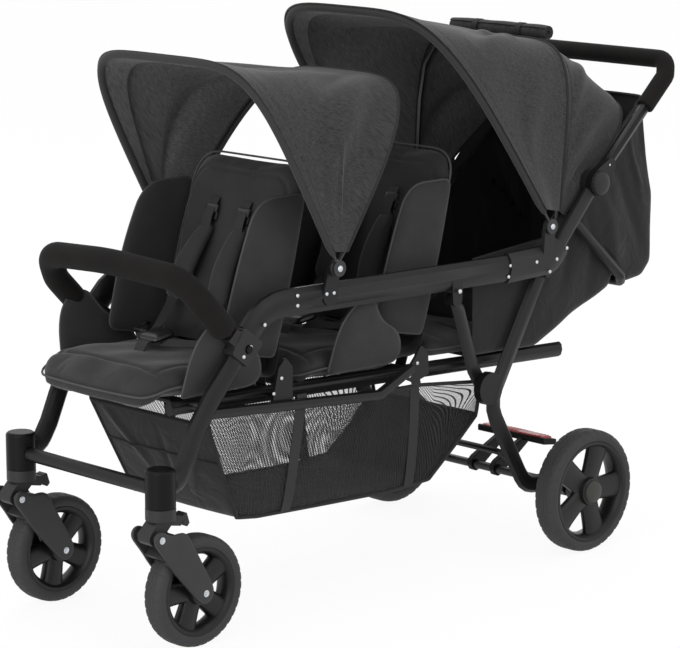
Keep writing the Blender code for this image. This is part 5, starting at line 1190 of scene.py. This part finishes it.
for seat in (0, 1):
    number = str(seat + 1)
    rest, top = on_back(seat), BACK_T / 2 + 0.008
    covers, upper, lower, lap, plates = [], [], [], [], []
    for s in (1, -1):
        def on_cover(p, q, h, s=s):
            """Places on a shoulder cover, which hangs forward of the back and outwards as it goes down."""
            low = np.clip((0.222 - q) / 0.144, 0, 1)
            across = s * 0.043 - 0.012 * low + s * 0.016 * low + p
            return rest(across, q, top + 0.010 + 0.020 * np.sin(low * 2.2) + h)
        covers += bolster(cover_line, on_cover, 0.0085, 0.003, square=4.0, rings=12)
        for run, tilt in ((0.238, 0.004), (0.252, 0.007)):
            plates += bolster(plate_line, lambda p, q, h: rest(s * 0.043 + p, run + q * 0.8, top + tilt + 0.004 + h),
                              0.0028, square=8.0, rings=6)
        slot_rise = top + 0.006 + 0.010 * np.sin(np.linspace(0.6, math.pi, 16))
        slot = rest(s * 0.043, np.linspace(0.205, 0.272, 16), slot_rise)
        upper.append(ribbon(slot, (1, 0, 0), 0.024))
        low = curve([on_cover(0.0, 0.085, 0.0), on_seat(seat, s * 0.066, 0.150, 0.515),
                     on_seat(seat, s * 0.050, 0.105, 0.502),
                     on_seat(seat, s * 0.022, 0.088, 0.504)])
        lower.append(ribbon(low, (0.35, 0.9, 0.2), 0.022))
        hip = curve([on_seat(seat, s * 0.142, 0.186, 0.497),
                     on_seat(seat, s * 0.118, 0.150, 0.506),
                     on_seat(seat, s * 0.075, 0.115, 0.503),
                     on_seat(seat, s * 0.026, 0.082, 0.503)])
        lap.append(ribbon(hip, (0.3, 0.8, 0.5), 0.022))
        plates += bolster(plate_line, lambda p, q, h: on_seat(seat, s * 0.090 + p, 0.128 + q, 0.5075 + 0.25 * q + h),
                          0.0030, square=8.0, rings=6)
    crotch = curve([on_seat(seat, 0, 0.045, 0.488), on_seat(seat, 0, 0.056, 0.503),
                    on_seat(seat, 0, 0.078, 0.509)])
    lap.append(ribbon(crotch, (1, 0, 0), 0.026))
    plates += bolster(buckle_line, lambda p, q, h: on_seat(seat, p, 0.090 + q, 0.5125 + 0.18 * q + h), 0.0070, 0.002,
                      square=5.0, rings=9)
    show("seat_" + number + "_shoulder_covers", mesh_of(covers), seat_cloth, "back_" + number,
                   sharp=math.pi)
    show("seat_" + number + "_upper_straps", mesh_of(upper), webbing, "back_" + number)
    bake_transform(show("seat_" + number + "_lower_straps", mesh_of(lower), webbing, None),
             "back_" + number, "frame",
             start=tuple(at(0, 0.150 + PAN_PITCH * seat, 0.560)), end=tuple(at(0, 0.120 + PAN_PITCH * seat, 0.505)))
    show("seat_" + number + "_lap_straps", mesh_of(lap), webbing, "frame")
    show("seat_" + number + "_adjusters", mesh_of(plates[:8]), buckle_plastic, "back_" + number)
    show("seat_" + number + "_buckle", mesh_of(plates[8:]), buckle_plastic, "frame")
    # Hinge straps, stitched to the foot of the back and looped round the cross tube
    cross = CROSS_TUBES[seat]
    loops = []
    for x in (0.118, -0.118):
        around = np.linspace(-0.3, 1.15, 24) * math.pi
        loop = at(x, cross + 0.0100 * np.cos(around), seat_line(cross) - 0.013 + 0.0100 * np.sin(around))
        lead = rest(x, np.linspace(0.012, -0.002, 4), -BACK_T * 0.5)
        loops.append(ribbon(np.concatenate([lead, loop]), (1, 0, 0), 0.026))
    show("seat_" + number + "_hinge_straps", mesh_of(loops), webbing, "back_" + number)

# Rear seat
# Flat pad and hinged back pad over foam, in a deep tub of oxford cloth that hangs from the side rails and
# the handle posts. The bar behind it lifts the tub's rear; the rear cloth is left still.
PAD_3_OUTLINE = ([(-0.151, 0.629), (0.151, 0.629), (0.151, 0.871), (-0.151, 0.871)], [0.020, 0.020, 0.012, 0.012])
BACK_3_OUTLINE = ([(-0.150, 0.001), (0.150, 0.001), (0.150, 0.242), (-0.150, 0.242)], [0.012, 0.012, 0.030, 0.030])
BACK_3_FOOT, BACK_3_SLOPE, PAD_3_T = (0.902, 0.3990), math.radians(20.0), 0.040
TUB_HALF, TUB_SPLIT = 0.1645, 0.33
TUB_LINE = [(0.735, None), (0.925, None), (1.020, 0.441), (1.140, 0.485), (1.149, 0.508), (1.183, 0.508),
            (1.192, 0.489), (1.245, 0.494), (1.269, 0.520), (1.267, 0.660), (1.245, 0.740), (1.224, 0.862)]
TUB_RIM = [(0.735, 0.590), (0.930, 0.606), (1.010, 0.664), (1.100, 0.748), (1.190, 0.826)]
SNAPS = ((1.203, 0.613), (1.226, 0.585), (1.172, 0.640), (1.140, 0.665))

tub_cloth, tree, shader = finish("tub_oxford_polyester", 0.86, Sheen_Weight=0.20, Sheen_Roughness=0.4)
shader.inputs["Specular IOR Level"].default_value = 0.25
marks = node(tree, "UVMap", uv_map="cloth").outputs[0]
coords = node(tree, "TexCoord").outputs["Object"]
broad = node(tree, "TexNoise", {"Scale": 9.0, "Detail": 4.0, "Roughness": 0.55}, {"Vector": coords})
tone = node(tree, "Mix", {6: linear("161616"), 7: linear("232323")}, {0: broad.outputs[0]}, data_type="RGBA")
tree.links.new(tone.outputs[2], shader.inputs["Base Color"])
warp = node(tree, "TexWave", {"Scale": math.tau / 20 / 0.0028, "Distortion": 0.5}, {"Vector": marks},
            bands_direction="X")
weft = node(tree, "TexWave", {"Scale": math.tau / 20 / 0.0028, "Distortion": 0.5}, {"Vector": marks},
            bands_direction="Y")
threads = node(tree, "Math", links={0: warp.outputs[1], 1: weft.outputs[1]}, operation="ADD")
wrinkled = node(tree, "TexNoise", {"Scale": 20.0, "Detail": 3.0, "Distortion": 0.8}, {"Vector": coords})
creased = node(tree, "Bump", {"Strength": 0.45, "Distance": 0.008}, {"Height": wrinkled.outputs[0]})
bump = node(tree, "Bump", {"Strength": 0.30, "Distance": 0.00025},
            {"Height": threads.outputs[0], "Normal": creased.outputs[0]})
tree.links.new(bump.outputs[0], shader.inputs["Normal"])


def on_pad_3(p, q, h):
    """Places on the rear pad: across, behind the axle, and up from the middle of its thickness."""
    return at(p, q, seat_line(q) + 0.0031 + PAD_3_T / 2 + h)


def on_back_3(p, q, h):
    """Places on the rear back: across, up its slope, and out from the middle of its thickness."""
    s, c = math.sin(BACK_3_SLOPE), math.cos(BACK_3_SLOPE)
    lift = PAD_3_T / 2 + h
    return at(p, BACK_3_FOOT[0] + q * c - lift * s, BACK_3_FOOT[1] + q * s + lift * c)


def pad_3_relief(p, q):
    """Two sewn channels across a rear pad, 80 mm apart."""
    span = (q % 0.3) / 0.08
    return -0.0035 * np.exp(-(((span + 0.5) % 1 - 0.5) * 0.08 / 0.004) ** 2) + 0.0015 * np.sin(p * 40)


for name, corners, place, body, node_name in (("seat_3_cushion", PAD_3_OUTLINE, on_pad_3, "frame", "seat_3_pan"),
                                              ("seat_3_backrest", BACK_3_OUTLINE, on_back_3, "back_3", "seat_3_back")):
    line = outline(*corners)
    pad = show(name, mesh_of(bolster(line, place, PAD_3_T / 2 - 0.0008, 0.006, pad_3_relief, square=9.0)),
               seat_cloth, body, [node_name], sharp=math.pi)
    show(name + "_piping", mesh_of([piped(line, place)]), piping_cloth, body)


def softened(points, times, axis):
    """Grid whose corners are rounded: each point is averaged with its two neighbours along an axis."""
    points = points.copy()
    for _ in range(times):
        nearer = np.roll(points, 1, axis), np.roll(points, -1, axis)
        mean = (nearer[0] + 2 * points + nearer[1]) / 4
        keep = [slice(None)] * points.ndim
        keep[axis] = slice(1, -1)
        points[tuple(keep)] = mean[tuple(keep)]
    return points


def tub_points(share):
    """Tub cloth: at each share of its side line a section goes down one wall, across the floor and up the
    other wall, to the rim over that share; its corners are rounded and its walls bulge a little."""
    line = np.array([(y, seat_line(y) + 0.0012 if z is None else z - 0.0015) for y, z in TUB_LINE])
    run = np.concatenate([[0], np.cumsum(np.linalg.norm(np.diff(line, axis=0), axis=1))])
    low_y, low_z = np.interp(share * run[-1], run, line[:, 0]), np.interp(share * run[-1], run, line[:, 1])
    rim = np.array(TUB_RIM)
    stops = np.linspace(0, 1, len(rim))
    rim_y, rim_z = np.interp(share, stops, rim[:, 0]), np.interp(share, stops, rim[:, 1])
    w = np.linspace(-1, 1, 121)[None, :]
    floor_share = 0.40
    lift = np.clip((np.abs(w) - floor_share) / (1 - floor_share), 0, 1)
    x = np.sign(w) * np.where(np.abs(w) < floor_share, np.abs(w) / floor_share * TUB_HALF, TUB_HALF)
    y = low_y[:, None] + (rim_y - low_y)[:, None] * lift
    z = low_z[:, None] + (rim_z - low_z)[:, None] * lift
    points = softened(at(x * np.ones_like(y), y, z), 10, 1)
    u = share[:, None] * np.ones_like(w)
    v = w * np.ones_like(u)
    folds = sum(ridge(u, np.abs(v), *c) for c in (
        ((0.36, 0.42), (0.58, 0.95), 0.030, 0.0045), ((0.48, 0.40), (0.66, 0.90), 0.024, -0.0040),
        ((0.30, 0.60), (0.46, 0.98), 0.024, 0.0040), ((0.62, 0.45), (0.80, 0.95), 0.030, 0.0045),
        ((0.72, 0.50), (0.92, 0.80), 0.022, -0.0035), ((0.12, 0.60), (0.30, 0.90), 0.026, 0.0030)))
    folds = folds + ripple(u * 3, v * 1.5, 23, 9, 6.0, 22.0, 0.0022) * (1 - np.abs(v) ** 12)
    outside = np.clip(u * 6, 0, 1)
    return points - normals(points) * (folds * outside)[..., None]


share = np.linspace(0, 1, 181)
rows = softened(tub_points(share), 2, 0)
cut = int(TUB_SPLIT * 180)
front_points, rear_points = rows[:cut + 1], rows[cut:]
front_tub = cloth("tub_front_cloth", front_points, tub_cloth, "frame", ["rear_tub"], thick=0.0014)
declared(front_tub, front_points, "hung")
rear_tub = cloth("tub_rear_cloth", rear_points, tub_cloth, None, thick=0.0014)
declared(rear_tub, rear_points, "hung")
# Places of the seam under the back and of the recline bar; the rear cloth is left still and does not follow the bar
LIFT_FROM, LIFT_TO = tuple(at(0.0, 1.037, 0.447)), tuple(at(0.0, 1.110, 0.414))
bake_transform(rear_tub)
edge = np.concatenate([rear_points[:, 0], rear_points[-1, 1:-1], rear_points[::-1, -1]])
hem = show("tub_rear_hem", mesh_of([tube(edge, 0.0028, 10, side=(0.2, 0.3, 0.93))]), binding, None)
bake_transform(hem)
show("tub_front_hem", mesh_of([tube(front_points[:, k], 0.0026, 10, side=(1, 0, 0)) for k in (0, -1)]), binding,
     "frame")

# Side gussets: slack cloth between the tub's rim and the rear canopy, with press studs inside the tub
gussets = []
for s in (1, -1):
    y = np.linspace(0.946, 1.136, 60)
    share_up = (y - MID_FOOT[0]) / (-math.sin(REAR_RIM[3])) / REAR_RIM[2]
    reach = (1 - np.clip(share_up, 0, 1) ** REAR_RIM[4]) ** (1 / REAR_RIM[4])
    upper = at(s * reach * (REAR_RIM[0] - 0.009 * share_up), y,
               MID_FOOT[1] + share_up * REAR_RIM[2] * math.cos(REAR_RIM[3]) + 0.004)
    upper[:, 0] -= s * 0.014 * np.clip((1.060 - y) / 0.050, 0, 1)
    rim = np.array(TUB_RIM)
    lower = at(s * TUB_HALF, y - 0.010, np.interp(y - 0.010, rim[:, 0], rim[:, 1]) - 0.010)
    v = np.linspace(0, 1, 16)[:, None]
    u = np.linspace(0, 1, 60)[None, :]
    panel = lower[None] + (upper - lower)[None] * v[..., None]
    panel[..., 0] -= s * (0.008 * np.sin(v * math.pi) + 0.003 * np.sin(u * 19 + v * 4) * np.sin(v * math.pi))
    name = "tub_gusset_" + ("left" if s > 0 else "right")
    made = cloth(name, panel, tub_cloth, "frame", thick=0.0012)
    declared(made, panel, "hung")
studs = []
for y, z in SNAPS:
    for s in (1, -1):
        profile = [(0, 0.0042), (0.0038, 0.0038), (0.0062, 0.0022), (0.0068, 0.0), (0, 0.0)]
        stud = turned([(r, -s * h) for r, h in profile], at(s * (TUB_HALF - 0.004), y, z), 18)
        studs.append(stud)
press_studs = show("press_studs", mesh_of(studs), buckle_plastic, None)
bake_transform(press_studs)

# Aprons: cloth that joins each pan to the foot of its back and closes the gap between them
for seat in (0, 1):
    place = on_back(seat)
    line = curve([at(0, 0.150 + PAN_PITCH * seat, seat_line(0.150 + PAN_PITCH * seat) + 0.030),
                  at(0, 0.200 + PAN_PITCH * seat, seat_line(0.200 + PAN_PITCH * seat) + 0.020),
                  place(0.0, -0.020, -0.012) + [0, 0.012 - 0.010 * seat, -0.004],
                  place(0.0, 0.040, -BACK_T / 2 - 0.001)], 20)
    across = np.linspace(-1, 1, 60)[:, None, None]
    wide = np.array([0.154, 0.0, 0.0])
    points = line[None] + across * wide
    slack = 0.0020 * np.sin(across * 13 + 1) * np.sin(np.linspace(0, math.pi, 20))[None, :, None]
    points = points - np.array([0.0, 0.0, 1.0]) * slack
    name = "seat_" + str(seat + 1) + "_apron"
    apron = cloth(name, points, tub_cloth, None, thick=0.0012)
    tuple(line[6])
    tuple(line[14])
    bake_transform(apron)
    declared(apron, points, "hung")

# Basket
# A sling of oxford cloth: front panel, floor and sloping rear panel in one, with walls of open net between
# bound edges. Webbing straps loop over the lower rails and run down the net.
BASKET_LINE = [(0.064, 0.380), (0.102, 0.296), (0.150, 0.191), (0.200, 0.184), (0.350, 0.177), (0.540, 0.169),
               (0.645, 0.173), (0.717, 0.228), (0.782, 0.282)]
BASKET_RIM = [(0.064, 0.392), (0.120, 0.4035), (0.460, 0.3780), (0.600, 0.3660), (0.776, 0.345)]
BASKET_RIM_HALF = [0.160, 0.1847, 0.1807, 0.152, 0.146]
BASKET_FLOOR_HALF = 0.138
STRAP_PLACES = (0.264, 0.584)

# Warp-knit net: open cells 2 mm across between threads, drawn at 4.5 mm so that they show
net, tree, shader = finish("warp_knit_net", 0.75)
net_marks = node(tree, "UVMap", uv_map="cloth").outputs[0]
shader.inputs["Base Color"].default_value = linear("1f1f1f")
slant = node(tree, "Mapping", {"Rotation": (0.0, 0.0, math.radians(45))}, {"Vector": net_marks})
one = node(tree, "TexWave", {"Scale": math.tau / 20 / 0.0045, "Distortion": 0.4}, {"Vector": slant.outputs[0]},
           bands_direction="X")
two = node(tree, "TexWave", {"Scale": math.tau / 20 / 0.0045, "Distortion": 0.4}, {"Vector": slant.outputs[0]},
           bands_direction="Y")
most = node(tree, "Math", links={0: one.outputs[1], 1: two.outputs[1]}, operation="MAXIMUM")
solid = node(tree, "MapRange", {1: 0.76, 2: 0.94, 3: 0.06, 4: 1.0}, {0: most.outputs[0]})
tree.links.new(solid.outputs[0], shader.inputs["Alpha"])
bump = node(tree, "Bump", {"Strength": 0.3, "Distance": 0.0004}, {"Height": most.outputs[0]})
tree.links.new(bump.outputs[0], shader.inputs["Normal"])


def basket_places(share):
    """At each share of the basket's length: the place of its low line, of its rim, and the rim's half width."""
    line, rim = np.array(BASKET_LINE), np.array(BASKET_RIM)
    low_stops, rim_stops = np.linspace(0, 1, len(line)), np.linspace(0, 1, len(rim))
    low = np.stack([np.interp(share, low_stops, line[:, k]) for k in (0, 1)], -1)
    top = np.stack([np.interp(share, rim_stops, rim[:, k]) for k in (0, 1)], -1)
    return low, top, np.interp(share, rim_stops, BASKET_RIM_HALF)


def wall_line(y, lift, side):
    """Line on a basket wall: at each distance behind the axle from the sling's edge up to the rim, and out
    as lift to the power 0.7."""
    line, rim = np.array(BASKET_LINE), np.array(BASKET_RIM)
    low_z, rim_z = np.interp(y, line[:, 0], line[:, 1]), np.interp(y, rim[:, 0], rim[:, 1])
    low_x = BASKET_FLOOR_HALF + 0.022 * np.clip(1 - (y - line[0, 0]) / (line[2, 0] - line[0, 0]), 0, 1)
    x = low_x + (np.interp(y, rim[:, 0], BASKET_RIM_HALF) - low_x) * lift ** 0.7
    return at(side * x, y, low_z + (rim_z - low_z) * lift)


share = np.linspace(0, 1, 121)
low, top, half = basket_places(share)
low = softened(low, 6, 0)
across = np.linspace(-1, 1, 61)[:, None]
front = np.clip(1 - share / 0.24, 0, 1)
wide = BASKET_FLOOR_HALF + 0.022 * front
sag = 0.007 * (1 - across ** 2) * np.sin(np.clip((share - 0.2) / 0.62, 0, 1) * math.pi)[None] + 0.0015
bulge = 0.006 * (1 - across ** 2) * np.sin(np.clip(share / 0.24, 0, 1) * math.pi)[None]
folds = sum(ridge(share[None, :] * np.ones_like(across), across * np.ones_like(share[None, :]) * 0.5, *c) for c in (
    ((0.02, -0.42), (0.20, -0.10), 0.020, 0.0040), ((0.03, 0.40), (0.22, 0.16), 0.020, 0.0040),
    ((0.05, 0.05), (0.22, 0.02), 0.024, -0.0030), ((0.80, -0.3), (0.97, 0.1), 0.026, 0.0035)))
sling_points = at(across * wide[None], low[None, :, 0] - bulge - folds * front[None] * 1.5,
                  low[None, :, 1] - sag - folds * 0.6)
sling = cloth("basket_sling", sling_points, tub_cloth, "frame", ["basket"], thick=0.0016)
declared(sling, sling_points, "hung")

bound, straps = [], []
for name, side in (("left", 1), ("right", -1)):
    u = np.linspace(0.066, 0.776, 143)
    lifts = np.linspace(0, 1, 30)
    points = wall_line(u[None, :], lifts[:, None], side)
    slack = np.sin(lifts * math.pi)[:, None] * (0.004 * np.sin(u * 24)[None] + 0.0025 * np.sin(u * 58 + 1)[None])
    points[..., 0] += side * slack
    wall = cloth("basket_wall_" + name, points, net, "frame", thick=0.0006)
    declared(wall, points, "hung")
    for lift in (0, -1):
        bound.append(tube(points[lift] + [side * 0.0012, 0, 0], 0.0036, 10, side=(1, 0, 0)))
    bound.append(tube(points[:, 0], 0.0036, 10, side=(1, 0, 0)))
    bound.append(tube(points[:, -1], 0.0036, 10, side=(1, 0, 0)))
    for place in STRAP_PLACES:
        line = points[:, int(np.searchsorted(u, place))] + [side * 0.0030, 0, 0]
        loop = line[-1] + np.array([[side * 0.004, 0.0, 0.006], [side * 0.001, 0.0, 0.014]])
        straps.append(ribbon(np.concatenate([line, loop]), (0, 1, 0), 0.024))
seam = sling_points[:, 14]
bound.append(tube(seam - [0, 0.0015, 0], 0.0020, 8, side=(0, 1, 0)))
bound.append(tube(sling_points[:, 1], 0.0040, 10, side=(0, 1, 0)))
bound.append(tube(sling_points[:, -2], 0.0036, 10, side=(0, 1, 0)))
show("basket_binding", mesh_of(bound), binding, "frame")
show("basket_straps", mesh_of(straps), webbing, "frame")

# Sizes
# The dressed stroller's box.
low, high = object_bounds()
